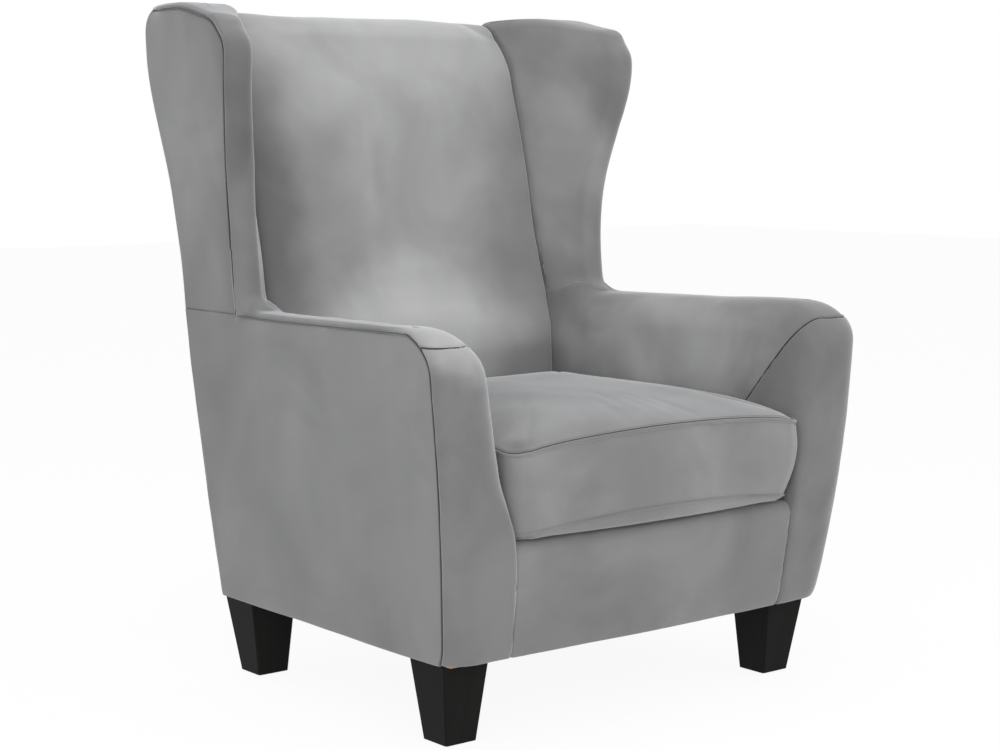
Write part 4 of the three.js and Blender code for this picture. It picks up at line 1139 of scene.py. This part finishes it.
def normals_near(line, grid):
    """For each point of a line, the normal of the grid's nearest point."""
    flat = grid.reshape(-1, 3)
    normals = grid_normals(grid).reshape(-1, 3)
    return np.array([normals[((flat - point) ** 2).sum(1).argmin()] for point in np.asarray(line)])


def seam_shade_strip(name, line, normals, side, body):
    """A dark strip of painted shade lying in a seam's groove."""
    seam_band(name, line, normals, SEAM_SHADE_SECTION, side, body, material=SEAM_SHADE_VELVET)


def stitches(name, line, normals, offset, side, body):
    """A row of short stitches beside a closed seam."""
    points, ahead, up, aside = swept(line, normals, True, STITCH_STEP)
    points = points + aside * offset + up * STITCH_RISE
    corners = [(-1, -1, 0), (-1, 1, 0), (1, 1, 0), (1, -1, 0), (-0.7, 0, 1), (0.7, 0, 1)]
    long, wide, high = STITCH_SIZE
    blocks = [points + ahead * long * a + aside * wide * b + up * high * c for a, b, c in corners]
    faces = []
    for n in range(0, 6 * len(points), 6):
        faces += [(n, n + 1, n + 2, n + 3), (n, n + 4, n + 1), (n + 2, n + 5, n + 3)]
        faces += [(n + 1, n + 4, n + 5, n + 2), (n + 3, n + 5, n + 4, n)]
    piece = make_object(name, np.stack(blocks, 1).reshape(-1, 3), faces, side, THREAD)
    tidy_faces(piece)
    finish_piece(piece, body, [])


# Sections of a dark strip of painted shade in a seam and of a welt, as (aside, up), and half the size of a
# stitch
SEAM_SHADE_SECTION = [(-1.2, -3.0), (-1.0, -0.7), (0, -0.45), (1.0, -0.7), (1.2, -3.0)]
WELT_SIDE = [(2.8, -2.0), (2.3, -0.3), (1.7, 1.0), (0.8, 1.6)]
WELT = [(-aside, up) for aside, up in WELT_SIDE] + [(0, 1.75)] + WELT_SIDE[::-1]
WELT_REACH = 2.9
STITCH_STEP = 4.2
STITCH_RISE = 0.2
STITCH_SIZE = (1.5, 0.45, 0.5)


# Arm

def facing_grid():
    top = settled(SEAM_Y, SEAM_TOP)
    foot = BODY_BOTTOM + FRONT_LIFT
    levels = np.concatenate([
        foot + FOOT_TUCK_HEIGHT * FOOT_SHARES,
        np.arange(foot + FOOT_TUCK_HEIGHT + POINT_STEP, top - SEAM_STEPS[-1], POINT_STEP),
        top - SEAM_STEPS[::-1],
    ])
    rows = []
    for z in levels:
        front = arm_front(z)
        end = facing_end(lifted(SEAM_Y, z))
        bend = min(front + NOSE_INNER + 6, mix(front, end, 0.7))
        outer = front + NOSE_REACH * (1 - np.sin(quarter_turn(16)))
        inner = front + np.linspace(0, 1, 40) ** 2 * (bend - front)
        side = np.linspace(bend, end, 40)
        first = as_line(arm_edges(outer, z)[0], outer, lifted(outer, z))
        second = as_line(arm_edges(inner, z)[1], inner, lifted(inner, z))
        third = as_line(arm_edges(side, z)[1], side, lifted(side, z))
        rows.append(sections([np.concatenate([first, second]), third], [22, 14]))
    return facing_out(np.array(rows), (0, -1, 0))


def arm_facing(side_name):
    grid = facing_grid()
    side = SIDES[side_name]
    # Dark strips of painted shade along these seams.
    sewn = (
        ("facing_seam", FACING_SEAM, normals_near(FACING_SEAM, grid)),
        ("arm_seam", ARM_SEAM, band_normals(ARM_SEAM)),
        ("wing_seam", WING_SEAM, band_normals(WING_SEAM)),
    )
    for name, line, normals in sewn:
        seam_shade_strip(f"{name}_{side_name}", line, normals, side, "frame")
    seams = [seam(ARM_SEAM), seam(FACING_SEAM, FACING_DEPTH, gathers=[(16, 16, 0.5, 12)])]
    grid = hemmed(pulled(grid, seams, 0.7, 130, 11 + side, True))
    piece = cover(f"facing_cover_{side_name}", grid, side, FACING_VELVET)
    return finish_piece(piece, "frame", [f"arm_facing_{side_name}"])


def arm_section(y):
    """Across the arm at a place along it: up its outer edge, over its crown and down its inner side."""
    depth = clamp((y + NOSE_FRONT) / CROWN_FRONT_DEPTH)
    top = ARM_FULL + CROWN_FRONT_HEIGHT * math.sqrt(1 - (1 - depth) ** 2)
    bend = np.sin(quarter_turn(26))
    outer = mix(min(PANEL_TOP - 2 * HEM, top - HEM), top, bend)
    shoulder = top - CROWN_INNER_HEIGHT
    inner = np.concatenate([np.linspace(ARM_PAD_BOTTOM, shoulder, 40), mix(shoulder, top, bend)[1:]])
    out = as_line(arm_edges(y, outer)[0], y, lifted(y, outer))
    out[:, 0] -= UNDER_PANEL * smooth((PANEL_TOP - outer) / 4) * smooth((y - arm_seam_y(outer)) / 4)
    into = as_line(arm_edges(y, inner)[1], y, lifted(y, inner))[::-1]
    return np.concatenate([out, into])


def swollen(grid):
    """The arm's crown rises where it runs in under the wing."""
    swell = ARM_SWELL * bell(grid[..., 1] - ARM_SWELL_Y, ARM_SWELL_REACH)
    on_top = smooth((grid[..., 2] - ARM_TOP + ARM_SWELL_DEPTH) / ARM_SWELL_DEPTH)
    grid[..., 2] += swell * on_top * smooth((away_from(grid, ARM_SEAM)[0] - 2) / 12)
    return grid


def arm_pad(side_name):
    side = SIDES[side_name]
    stations = np.concatenate([
        np.arange(10 - NOSE_FRONT, -250, 3.0),
        np.arange(-250, ARM_PAD_REAR, POINT_STEP),
    ])
    lines = [arm_section(y) for y in stations]
    grid = facing_out(across(lines, 62, (True, False)), (0, 0, 1))
    seams = [
        seam(ARM_SEAM),
        seam(FACING_SEAM, FACING_DEPTH, gathers=[(16, 16, 0.6, 14)]),
        seam(BACK_SEAM, 1.5, 7.0),
    ]
    grid = pulled(swollen(grid), seams, 1.1, 170, 21 + side, True)
    grid = grid - grid_normals(grid) * (FACING_OVERLAP * front_share(grid))[..., None]
    piece = cover(f"arm_cover_{side_name}", grid, side, ARM_VELVET)
    return finish_piece(piece, "frame", [f"arm_pad_{side_name}"])


def front_share(grid):
    """1 where a point lies well in front of the facing seam, and 0 behind it."""
    y, z = facing_seam()
    line = np.concatenate([[[-NOSE_FRONT - 50, SEAM_TOP]], np.stack([y, z], 1)])
    behind = np.interp(grid[..., 2], line[:, 1][::-1], line[:, 0][::-1])
    on_nose = grid[..., 1] < SEAM_Y
    ahead = np.where(grid[..., 2] > SEAM_TOP, -1.0, behind - grid[..., 1])
    nose = np.where(on_nose, SEAM_TOP - grid[..., 2], ahead)
    return smooth(np.maximum(np.minimum(nose, ahead), np.where(on_nose, nose, -1)) / 6)


def outside_arm(side_name):
    side = SIDES[side_name]
    levels = np.concatenate([
        BODY_BOTTOM + FOOT_TUCK * np.array([0, 0.03, 0.15, 0.4, 1]),
        np.arange(BODY_BOTTOM + FOOT_TUCK + POINT_STEP, ARM_FULL, POINT_STEP),
        rounded_levels(ARM_FULL, PANEL_TOP, 2.5),
    ])
    lines = []
    for z in levels:
        y = np.linspace(arm_seam_y(z), rear_y(z), 80)
        lines.append(as_line(outer_x(y, z), y, lifted(y, z)))
    grid = facing_out(across(lines, 84), OUTWARD)
    grid = pulled(grid, [seam(ARM_SEAM), seam(ARM_SEAM, 0.8, 16)], 0.8, 210, 31 + side)
    grid = hemmed(grid, out=OUTWARD)
    piece = cover(f"outside_arm_cover_{side_name}", grid, side, PANEL_VELVET, out=OUTWARD)
    return finish_piece(piece, "frame", [f"outside_arm_panel_{side_name}"])


# Wing

def outside_wing(side_name):
    side = SIDES[side_name]
    levels = np.concatenate([
        PANEL_TOP + SEAM_STEPS,
        np.arange(PANEL_TOP + SEAM_STEPS[-1] + POINT_STEP, WING_LOBE_Z - 1, POINT_STEP),
        rounded_levels(WING_LOBE_Z, WING_PANEL_TOP, 2.5),
    ])
    lines = []
    for z in levels:
        y = np.linspace(wing_seam_y(z), rear_y(z), 40)
        lines.append(as_line(outer_x(y, z), y, z))
    grid = facing_out(shaped_top(across(lines, 26)), OUTWARD)
    y = np.linspace(170, 330, 40)
    joint = as_line(outer_x(y, PANEL_TOP), y, PANEL_TOP)
    seams = [seam(WING_SEAM), seam(WING_SEAM, 1.4, 13), seam(joint, 1.6, 2.4)]
    grid = hemmed(pulled(grid, seams, 0.8, 190, 41 + side), out=OUTWARD)
    piece = cover(f"outside_wing_cover_{side_name}", grid, side, PANEL_VELVET, out=OUTWARD)
    return finish_piece(piece, "frame", [f"outside_wing_panel_{side_name}"])


def wing_parts(z):
    """Plan of the wing's cover in parts: beside the back, inner face, front edge, outer side and rear."""
    seam = wing_nose_end(z)
    turned = quarter((z - WING_PANEL_TOP) / (WING_HEIGHT - WING_PANEL_TOP))
    rear = rear_y(z) - WING_TOP_REAR * turned
    tip = wing_tip_y(z)
    fore = tip + WING_NOSE_REACH
    edge = outer_x(seam, z) - WING_TOP_OUTER * turned
    face = outer_x(fore, z) - 2 * WING_NOSE + WING_TOP_INNER * turned
    start = seam_x(z) + WING_TOP_INNER * turned
    deep = min(seam_y(z), rear - SEAM_FROM_REAR)
    under_back = UNDER_BACK * (1 - smooth((z - WING_PANEL_TOP + 10) / 10))
    tuck = as_line(start + 0.3, np.linspace(rear - under_back, deep + 2, 12), z)
    t = np.linspace(0, 1, 40)
    inside = np.concatenate([tuck[-1:], as_line(mix(start, face, t), mix(deep, fore, t), z)])
    turn = np.linspace(0, math.pi, 50)
    share = (1 - np.cos(turn)) / 2
    gap = (fore + seam) / 2 - tip
    nose = as_line(mix(face, edge, share), mix(fore, seam, share) - gap * np.sin(turn), z)
    inside, nose = eased(inside, nose, mix(*EASE_REACH, turned), mix(*EASE_SPREAD, turned))
    outside = np.linspace(seam, rear - under_back, 30)
    sunk = UNDER_PANEL * smooth((WING_PANEL_TOP - z) / 3) * smooth((outside - wing_seam_y(z)) / 8)
    out = as_line(outer_x(outside, z) - WING_TOP_OUTER * turned - sunk, outside, z)
    behind = as_line(np.linspace(out[-1, 0], start + 0.3, 20), rear - under_back, z)
    return [tuck, inside, nose, out, behind]


def eased(first, second, reach, spread, step=2.0):
    """Rounds the corner where one part of a section runs into the next."""
    path = np.concatenate([first, second[1:]])
    middle = length_of(first)
    places = np.linspace(0, length_of(path), int(length_of(path) / step) + 1)
    points = resample(path, places)
    width = int(3 * spread / step)
    kernel = np.exp(-(((np.arange(-width, width + 1) * step) / spread) ** 2) / 2)
    kernel /= kernel.sum()
    longer = np.pad(points, ((width, width), (0, 0)), mode="edge")
    soft = np.stack([np.convolve(longer[:, k], kernel, "valid") for k in range(3)], 1)
    weight = bell(places - middle, reach)[:, None]
    weight[[0, -1]] = 0
    points = points + weight * (soft - points)
    cut = int(np.searchsorted(places, middle))
    return points[:cut + 1], points[cut:]


def wing_row(z):
    tuck, inside, nose, out, behind = wing_parts(z)
    return np.concatenate([
        sections([tuck], [5], (False, False))[:-1],
        sections([inside], [26], (True, False)),
        sections([nose], [26], (False, True))[1:],
        sections([out], [14], (True, False))[1:],
        sections([behind], [9], (False, False))[1:],
    ])


def wing_crest(top):
    """A point on the middle line of the wing's top for each point around it."""
    tip = int(top[:, 1].argmin())
    rear = int(top[:, 1].argmax())
    y = np.clip(top[:, 1], top[tip, 1] + 12, top[rear, 1] - 10)
    out = top[tip:-9]
    inner = np.interp(y, top[:tip + 1][::-1, 1], top[:tip + 1][::-1, 0])
    outer = np.interp(y, out[:, 1], out[:, 0])
    return as_line((inner + outer) / 2, y, top[:, 2])


def wing_pad(side_name):
    side = SIDES[side_name]
    levels = np.concatenate([
        np.arange(ARM_TOP - 2 * HEM, WING_LOBE_Z - 1, 5.0),
        rounded_levels(WING_LOBE_Z, WING_PANEL_TOP, 3.0),
        mix(WING_PANEL_TOP, WING_HEIGHT, np.sin(np.linspace(0.12, math.pi / 2, 12))),
    ])
    rows = [wing_row(z) for z in levels]
    top = rows[-1]
    middle = wing_crest(top)
    for t in WING_TOP_CLOSE:
        rows.append(mix(top, middle, t) + [0, 0, 0.4 * t * (2 - t)])
    grid = facing_out(shaped_top(rows), (0, -1, 0))
    seams = [seam(WING_SEAM), seam(BACK_SEAM, 1.5, 6.0, [(775, 13, 0.8, 16)])]
    grid = pulled(grid, seams, 1.0, 150, 51 + side, True)
    piece = cover(f"wing_cover_{side_name}", grid, side, WING_VELVET)
    return finish_piece(piece, "frame", [f"wing_pad_{side_name}"])


# Back

def back_path():
    """Middle line of the inside back, up its face and over its top: (y, z, how far it has turned over)."""
    z = np.arange(ARM_PAD_BOTTOM, BACK_HEIGHT - BACK_TOP_HEIGHT, 9.0)
    t = quarter_turn(16)
    top = BACK_HEIGHT - BACK_TOP_HEIGHT * (1 - np.sin(t))
    over = inside_y(top) + BACK_TOP_ROUND * (1 - np.cos(t))
    rear = np.linspace(over[-1], rear_y(BACK_HEIGHT) - WING_TOP_REAR, 6)[1:]
    a = quarter_turn(8)[1:]
    behind = rear[-1] + WING_TOP_REAR * np.sin(a)
    down = BACK_HEIGHT - (BACK_HEIGHT - WING_PANEL_TOP) * (1 - np.cos(a))
    return np.concatenate([
        as_line(inside_y(z), z, 0),
        as_line(over, top, t),
        as_line(rear, BACK_HEIGHT, math.pi / 2),
        as_line(behind, down, math.pi / 2),
    ])


def back_line(y, z, turned):
    half = seam_x(z)
    a = quarter_turn(14)
    side = half - BACK_ROLL_WIDTH * (1 - np.sin(a))
    x = np.concatenate([np.linspace(0, side[0], 40), side[1:], half + np.array([0.5, 1.5, 4])])
    tucked = BACK_ROLL + np.array([0.3, 0.6, 1]) * TUCK
    sink = np.concatenate([np.zeros(40), BACK_ROLL * (1 - np.cos(a[1:])), tucked])
    x = np.concatenate([-x[:0:-1], x])
    sink = np.concatenate([sink[:0:-1], sink])
    swell = BACK_CROWN * rising(z, BACK_CROWN_FROM, BACK_CROWN_TO - BACK_CROWN_FROM)
    swell = swell * (1 - clamp(np.abs(x) / half) ** BACK_POWER) * max(0, math.cos(turned))
    side = smooth((np.abs(x) - half + BACK_CORNER_WIDTH) / BACK_CORNER_WIDTH)
    room = max(0, rear_y(z) - BACK_ROOM - TUCK * math.cos(turned) - y)
    back = np.minimum(BACK_CORNER_BACK * corner_turn(z) * side, room)
    level = z - BACK_TOP_SINK * sink * math.sin(turned)
    return as_line(x, y - swell + back + sink * math.cos(turned), level)


def inside_back():
    lines = [back_line(*place) for place in back_path()]
    edge = TUCK + 2 * BACK_ROLL_WIDTH
    grid = np.array([resample(line, crowded(length_of(line), 64, edge)) for line in lines])
    grid = facing_out(grid, (0, -1, 0))
    grid = pulled(grid, [], 1.7, 230, 61)
    piece = cover("inside_back_cover", grid, LEFT, BACK_VELVET)
    return finish_piece(piece, "frame", ["inside_back_pad"])


def outside_back():
    levels = np.concatenate([
        BODY_BOTTOM + FOOT_TUCK * np.array([0, 0.1, 0.4, 1]),
        np.arange(BODY_BOTTOM + FOOT_TUCK + POINT_STEP, WING_PANEL_TOP - SEAM_STEPS[-1], 10.0),
        WING_PANEL_TOP - SEAM_STEPS[::-1],
    ])
    lines = []
    for z in levels:
        x = outer_x(rear_y(z), z) * np.linspace(-1, 1, 81)
        lines.append(as_line(x, rear_y(z), z))
    grid = facing_out(shaped_top(across(lines, 70)), (0, 1, 0))
    edge = shaped_top([line[-1] for line in lines])
    seams = [seam(edge, 1.4, 3.2), seam(edge * [-1, 1, 1], 1.4, 3.2)]
    grid = hemmed(pulled(grid, seams, 0.9, 230, 71), depth=5)
    piece = cover("outside_back_cover", grid, LEFT, PANEL_VELVET)
    return finish_piece(piece, "frame", ["outside_back_panel"])


# Front rail cover

def rail_cover():
    bend = FRONT_PAD_HEIGHT - FRONT_PAD_ROUND
    foot = BODY_BOTTOM + FRONT_LIFT
    z = np.concatenate([
        foot + FOOT_TUCK_HEIGHT * FOOT_SHARES,
        np.linspace(foot + FOOT_TUCK_HEIGHT, bend, 17)[1:],
        bend + FRONT_PAD_ROUND * np.sin(quarter_turn(12)[1:]),
    ])
    rise = clamp((z - BODY_BOTTOM) / (FRONT_PAD_HEIGHT - BODY_BOTTOM))
    rounded = FRONT_PAD_ROUND * quarter((z - bend) / FRONT_PAD_ROUND)
    y = nose_y(z) + FRONT_PAD_SET_BACK * rise + rounded
    lines = []
    for front, height in zip(y, z):
        share = np.linspace(-1, 1, 61)
        half = inner_x(-NOSE_FOOT, height) - 0.3
        bulge = FRONT_PAD_BULGE * (1 - share ** 2)
        lines.append(as_line(half * share, front - bulge, height))
    last = lines[-1]
    for t in np.linspace(0, 1, 5)[1:]:
        lines.append(as_line(last[:, 0], mix(last[:, 1], FRONT_PAD_REAR, t), last[:, 2]))
    grid = facing_out(across(lines, 64), (0, -1, 0))
    edge = grid[:, -1] if grid[0, -1, 0] > 0 else grid[:, 0]
    seams = [seam(edge, 1.8, 3.6), seam(edge * [-1, 1, 1], 1.8, 3.6)]
    grid = hemmed(pulled(grid, seams, 0.8, 170, 81), all_round=False)
    piece = cover("rail_cover", grid, LEFT, VELVET)
    return finish_piece(piece, "frame", ["front_rail_cover"])


# Seat cushion

def cushion_plan():
    """Plan of the upper seam, all the way round from the middle of the front."""
    turn = CUSHION_TURN
    x = np.linspace(0, CUSHION_HALF - turn, 28)
    arch = (CUSHION_FRONT - CUSHION_CORNER) * (1 - (x / CUSHION_HALF) ** 2)
    front = np.stack([x, -CUSHION_CORNER - arch], 1)
    angle = quarter_turn(10)
    round_x, round_y = turn * np.sin(angle), turn * np.cos(angle)
    corner = np.stack([CUSHION_HALF - turn + round_x, turn - CUSHION_CORNER - round_y], 1)
    t = np.linspace(0, 1, 56)
    wide = mix(CUSHION_HALF, CUSHION_REAR_HALF, t) - CUSHION_PULL * np.sin(t * math.pi)
    side = np.stack([wide, mix(turn - CUSHION_CORNER, CUSHION_REAR - turn, t)], 1)
    rear = np.stack([CUSHION_REAR_HALF - turn + round_y, CUSHION_REAR - turn + round_x], 1)
    close = np.stack([np.linspace(CUSHION_REAR_HALF - turn, 0, 28), np.full(28, CUSHION_REAR)], 1)
    half = np.concatenate([front, corner[1:], side[1:], rear[1:], close[1:]])
    return np.concatenate([half, (half * [-1, 1])[1:-1][::-1]])


def cushion_seams(plan):
    """Heights of the lower and the upper seam at each point of the plan."""
    forward = clamp(-plan[:, 1] / CUSHION_CORNER) ** 2
    arch = CUSHION_ARCH * np.maximum(0, 1 - (plan[:, 0] / CUSHION_HALF) ** 2) * forward
    low = CUSHION_BOTTOM + np.maximum(CUSHION_SEAM_LOW + arch, 4)
    high = CUSHION_BOTTOM + CUSHION_SEAM_LOW + CUSHION_BOXING + arch + CUSHION_SIDE_RISE * (1 - forward)
    corner = bell(np.abs(plan[:, 0]) - CUSHION_HALF, 45) * bell(plan[:, 1] + CUSHION_CORNER, 45)
    return low, high - CUSHION_DROOP * corner


def cushion_ring(plan, inset, height):
    """The plan, drawn in towards its middle and set at a height."""
    middle = (CUSHION_REAR - CUSHION_CORNER) / 2
    kx = 1 - inset / CUSHION_HALF
    ky = 1 - inset / (CUSHION_REAR - middle)
    return as_line(plan[:, 0] * kx, middle + (plan[:, 1] - middle) * ky, height)


def cushion_rings():
    """Rings of points from the underside to the crown, with the rows of the two seams."""
    plan = cushion_plan()
    low, high = cushion_seams(plan)
    half_depth = (CUSHION_REAR + CUSHION_CORNER) / 2
    forward = clamp(-plan[:, 1] / CUSHION_CORNER) ** 12
    rings = []
    for share in np.linspace(0.12, 1, 12):
        inset = half_depth * (1 - share) + CUSHION_UNDER * share
        rings.append(cushion_ring(plan, inset, CUSHION_BOTTOM))
    for t in np.linspace(0, 1, 8)[1:-1]:
        inset = mix(CUSHION_UNDER, CUSHION_BOTTOM_PULL - 3, 1 - (1 - t) ** 1.3)
        sag = CUSHION_SAG * forward * math.sin(t * math.pi) ** 2
        rings.append(cushion_ring(plan, inset, mix(CUSHION_BOTTOM, low, t ** 2.4) - sag))
    low_row = len(rings)
    for t in np.linspace(0, 1, 15):
        inset = mix(CUSHION_BOTTOM_PULL, 0, t) - CUSHION_BELLY * math.sin(t * math.pi)
        rings.append(cushion_ring(plan, inset, mix(low, high, t)))
    high_row = len(rings) - 1
    for s in 1 - np.linspace(0, 0.9, 34)[1:] ** 1.25:
        height = mix(high, CUSHION_BOTTOM + CUSHION_HEIGHT, 1 - s ** 4)
        rings.append(cushion_ring(plan, (1 - s) * half_depth, height))
    return np.array(rings), low_row, high_row


def add_cloth(piece, group, pressure):
    """Cloth that swells under pressure and is held by a group of points."""
    cloth = piece.modifiers.new("cloth", "CLOTH")
    cloth.point_cache.frame_end = CLOTH_FRAMES
    settings = cloth.settings
    settings.vertex_group_mass = group.name
    settings.use_pressure = True
    settings.uniform_pressure_force = pressure
    settings.quality = 4
    settings.mass = 0.3
    settings.tension_stiffness = 22
    settings.compression_stiffness = 22
    settings.bending_stiffness = 2.5
    settings.effector_weights.gravity = 0
    return cloth


def settle_cloth(piece, pinned, pressure, cap):
    """Swells a cover with its seams held, and keeps every point within cap of where it was."""
    rest = np.array([v.co for v in piece.data.vertices])
    group = piece.vertex_groups.new(name="seams")
    for index, weight in enumerate(pinned):
        if weight > 0.01:
            group.add([index], float(weight), "REPLACE")
    cloth = add_cloth(piece, group, pressure)
    scene = bpy.context.scene
    for number in range(1, CLOTH_FRAMES + 1):
        scene.frame_set(number)
    shape = piece.evaluated_get(bpy.context.evaluated_depsgraph_get())
    moved = np.array([v.co for v in shape.data.vertices])
    piece.modifiers.remove(cloth)
    piece.vertex_groups.remove(group)
    scene.frame_set(1)
    shift = moved - rest
    far = np.linalg.norm(shift, axis=1, keepdims=True)
    shift *= np.tanh(far / cap) / np.maximum(far / cap, 1e-9)
    piece.data.vertices.foreach_set("co", (rest + shift).ravel())
    piece.data.update()


def closed_cushion(rings, high_row):
    """Faces of the closed rings, and the outward normal of each of their points."""
    rows, cols = rings.shape[:2]
    faces = grid_faces(rows, cols, around=True)
    faces.append(tuple(range(cols)))
    last = (rows - 1) * cols
    faces += [(last + c, rows * cols, last + (c + 1) % cols) for c in range(cols)]
    normal = np.cross(np.gradient(rings, axis=0), np.roll(rings, -1, 1) - np.roll(rings, 1, 1))
    outward = np.sign((normal[high_row, :, :2] * rings[high_row, :, :2]).sum())
    if outward > 0:
        faces = [tuple(reversed(face)) for face in faces]
    return faces, outward * unit(normal)


def press_seams(piece, normal, to_upper, to_lower, under):
    """Presses the seams in, leaves the cloth slightly uneven and keeps it on the deck."""
    moved = np.array([v.co for v in piece.data.vertices]) / MM
    dent = bell(to_upper, CUSHION_DENT) + bell(to_lower, CUSHION_DENT)
    loose = smooth(np.minimum(to_upper, to_lower) / 40) * ~under
    rise = CUSHION_WAVE * wave_field(moved, 190, 91) + CUSHION_FINE_WAVE * wave_field(moved, 80, 92)
    outward = np.concatenate([normal.reshape(-1, 3), [[0, 0, 1]]])
    moved = moved + outward * (rise * loose - dent)[:, None]
    floor = CUSHION_BOTTOM - CUSHION_SAG * smooth((-moved[:, 1] - 362) / 12)
    moved[:, 2] = np.maximum(moved[:, 2], floor)
    piece.data.vertices.foreach_set("co", (moved * MM).ravel())
    piece.data.update()


def seat_cushion():
    """The cushion's cover and its foam. Returns the lines of the upper and the lower seam."""
    rings, low_row, high_row = cushion_rings()
    faces, normal = closed_cushion(rings, high_row)
    crown = rings[-1].mean(0) + [0, 0, 0.05]
    points = np.concatenate([rings.reshape(-1, 3), crown[None]])
    piece = make_object("seat_cushion_cover", points, faces, LEFT, CUSHION_VELVET)
    tidy_faces(piece)
    upper = np.concatenate([rings[high_row], rings[high_row][:1]])
    lower = np.concatenate([rings[low_row], rings[low_row][:1]])
    to_upper, _ = away_from(points, upper)
    to_lower, _ = away_from(points, lower)
    under = points[:, 2] < DECK_TOP + 2
    pinned = bell(np.minimum(to_upper, to_lower), CUSHION_PINNED)
    settle_cloth(piece, np.maximum(pinned, np.where(under, 1.0, 0.0)), CLOTH_PRESSURE, CUSHION_CAP)
    press_seams(piece, normal, to_upper, to_lower, under)
    finish_piece(piece, "seat_cushion", ["cushion_cover"])
    foam_in_cushion(rings, normal, faces)
    return upper, lower


def foam_in_cushion(rings, normal, faces):
    """The foam block, a little smaller than its cover all round."""
    block = rings - normal * FOAM_INSET
    points = np.concatenate([block.reshape(-1, 3), block[-1].mean(0)[None]])
    piece = make_object("cushion_foam_block", points, faces, LEFT, FOAM)
    tidy_faces(piece)
    finish_piece(piece, "seat_cushion", ["cushion_foam"])


def tidy_faces(piece):
    """Turns all faces outward and cuts the large ones into triangles."""
    bm = bmesh.new()
    bm.from_mesh(piece.data)
    bmesh.ops.recalc_face_normals(bm, faces=bm.faces)
    bmesh.ops.triangulate(bm, faces=[f for f in bm.faces if len(f.verts) > 4])
    bm.to_mesh(piece.data)
    bm.free()


def cushion_welts(upper, lower):
    center = np.array([0, (CUSHION_REAR - CUSHION_CORNER) / 2, 0])
    for name, line, tilt, away in (("upper", upper, 0.45, -WELT_REACH), ("lower", lower, -0.5, WELT_REACH)):
        up = unit((line - center) * [1, 1, 0]) + [0, 0, tilt]
        seam_band(f"cushion_seam_{name}", line, up, WELT, LEFT, "seat_cushion", True)
        # A dark strip of painted shade in the groove beside each welt.
        beside = [(offset + away, rise + 0.3) for offset, rise in SEAM_SHADE_SECTION]
        seam_band(f"cushion_shade_strip_{name}", line, up, beside, LEFT, "seat_cushion", True, SEAM_SHADE_VELVET)
        stitches(f"cushion_stitches_{name}", line, up, 2.0 * away, LEFT, "seat_cushion")


# Seat deck and dust cover

DECK_DEPTH = 14
DECK_GAP = 0.6
DECK_SLACK = 1.2


def seat_deck():
    """The taut cloth under the cushion, with its edges turned down."""
    stations = np.concatenate([[FRONT_PAD_REAR], np.linspace(FRONT_PAD_REAR + 6, SEAT_BACK_Y - 1, 60)])
    low = DECK_TOP - DECK_DEPTH
    lines = []
    for y in stations:
        half = inner_x(y, low) - DECK_GAP
        lines.append(as_line(np.linspace(-half, half, 60), y, DECK_TOP - 0.1))
    grid = facing_out(np.array(lines), (0, 0, 1))
    slack = smooth(np.minimum(grid[..., 1] - FRONT_PAD_REAR, SEAT_BACK_Y - grid[..., 1]) / 60)
    grid[..., 2] -= DECK_SLACK * slack * (1 + 0.5 * wave_field(grid, 140, 95))
    piece = cover("seat_deck_cover", hemmed(grid, depth=11), LEFT, LINING, 1.4)
    finish_piece(piece, "frame", ["seat_deck"])


DUST_HALF = (334, 277)
DUST_MIDDLE = -35.5
DUST_BOTTOM = 118.2
DUST_SLACK = 2.5


def dust_cover():
    """The thin cloth under the seat, stapled all round and slack by a few millimetres."""
    x, y = np.meshgrid(np.linspace(-1, 1, 70), np.linspace(-1, 1, 60), indexing="ij")
    slack = (1 - x ** 2) * (1 - y ** 2)
    grid = np.stack([x * DUST_HALF[0], DUST_MIDDLE + y * DUST_HALF[1], 0 * x + DUST_BOTTOM], -1)
    grid[..., 2] -= DUST_SLACK * slack * (1 + 0.3 * wave_field(grid, 160, 97))
    grid = facing_out(grid, (0, 0, -1))
    piece = cover("dust_cover_cloth", grid, LEFT, LINING, 1.0)
    finish_piece(piece, "frame", ["dust_cover"])


make_stage()
dress_nodes()
for side_name in SIDES:
    arm_facing(side_name)
    arm_pad(side_name)
    outside_arm(side_name)
    outside_wing(side_name)
    wing_pad(side_name)
inside_back()
outside_back()
rail_cover()
cushion_welts(*seat_cushion())
seat_deck()
dust_cover()
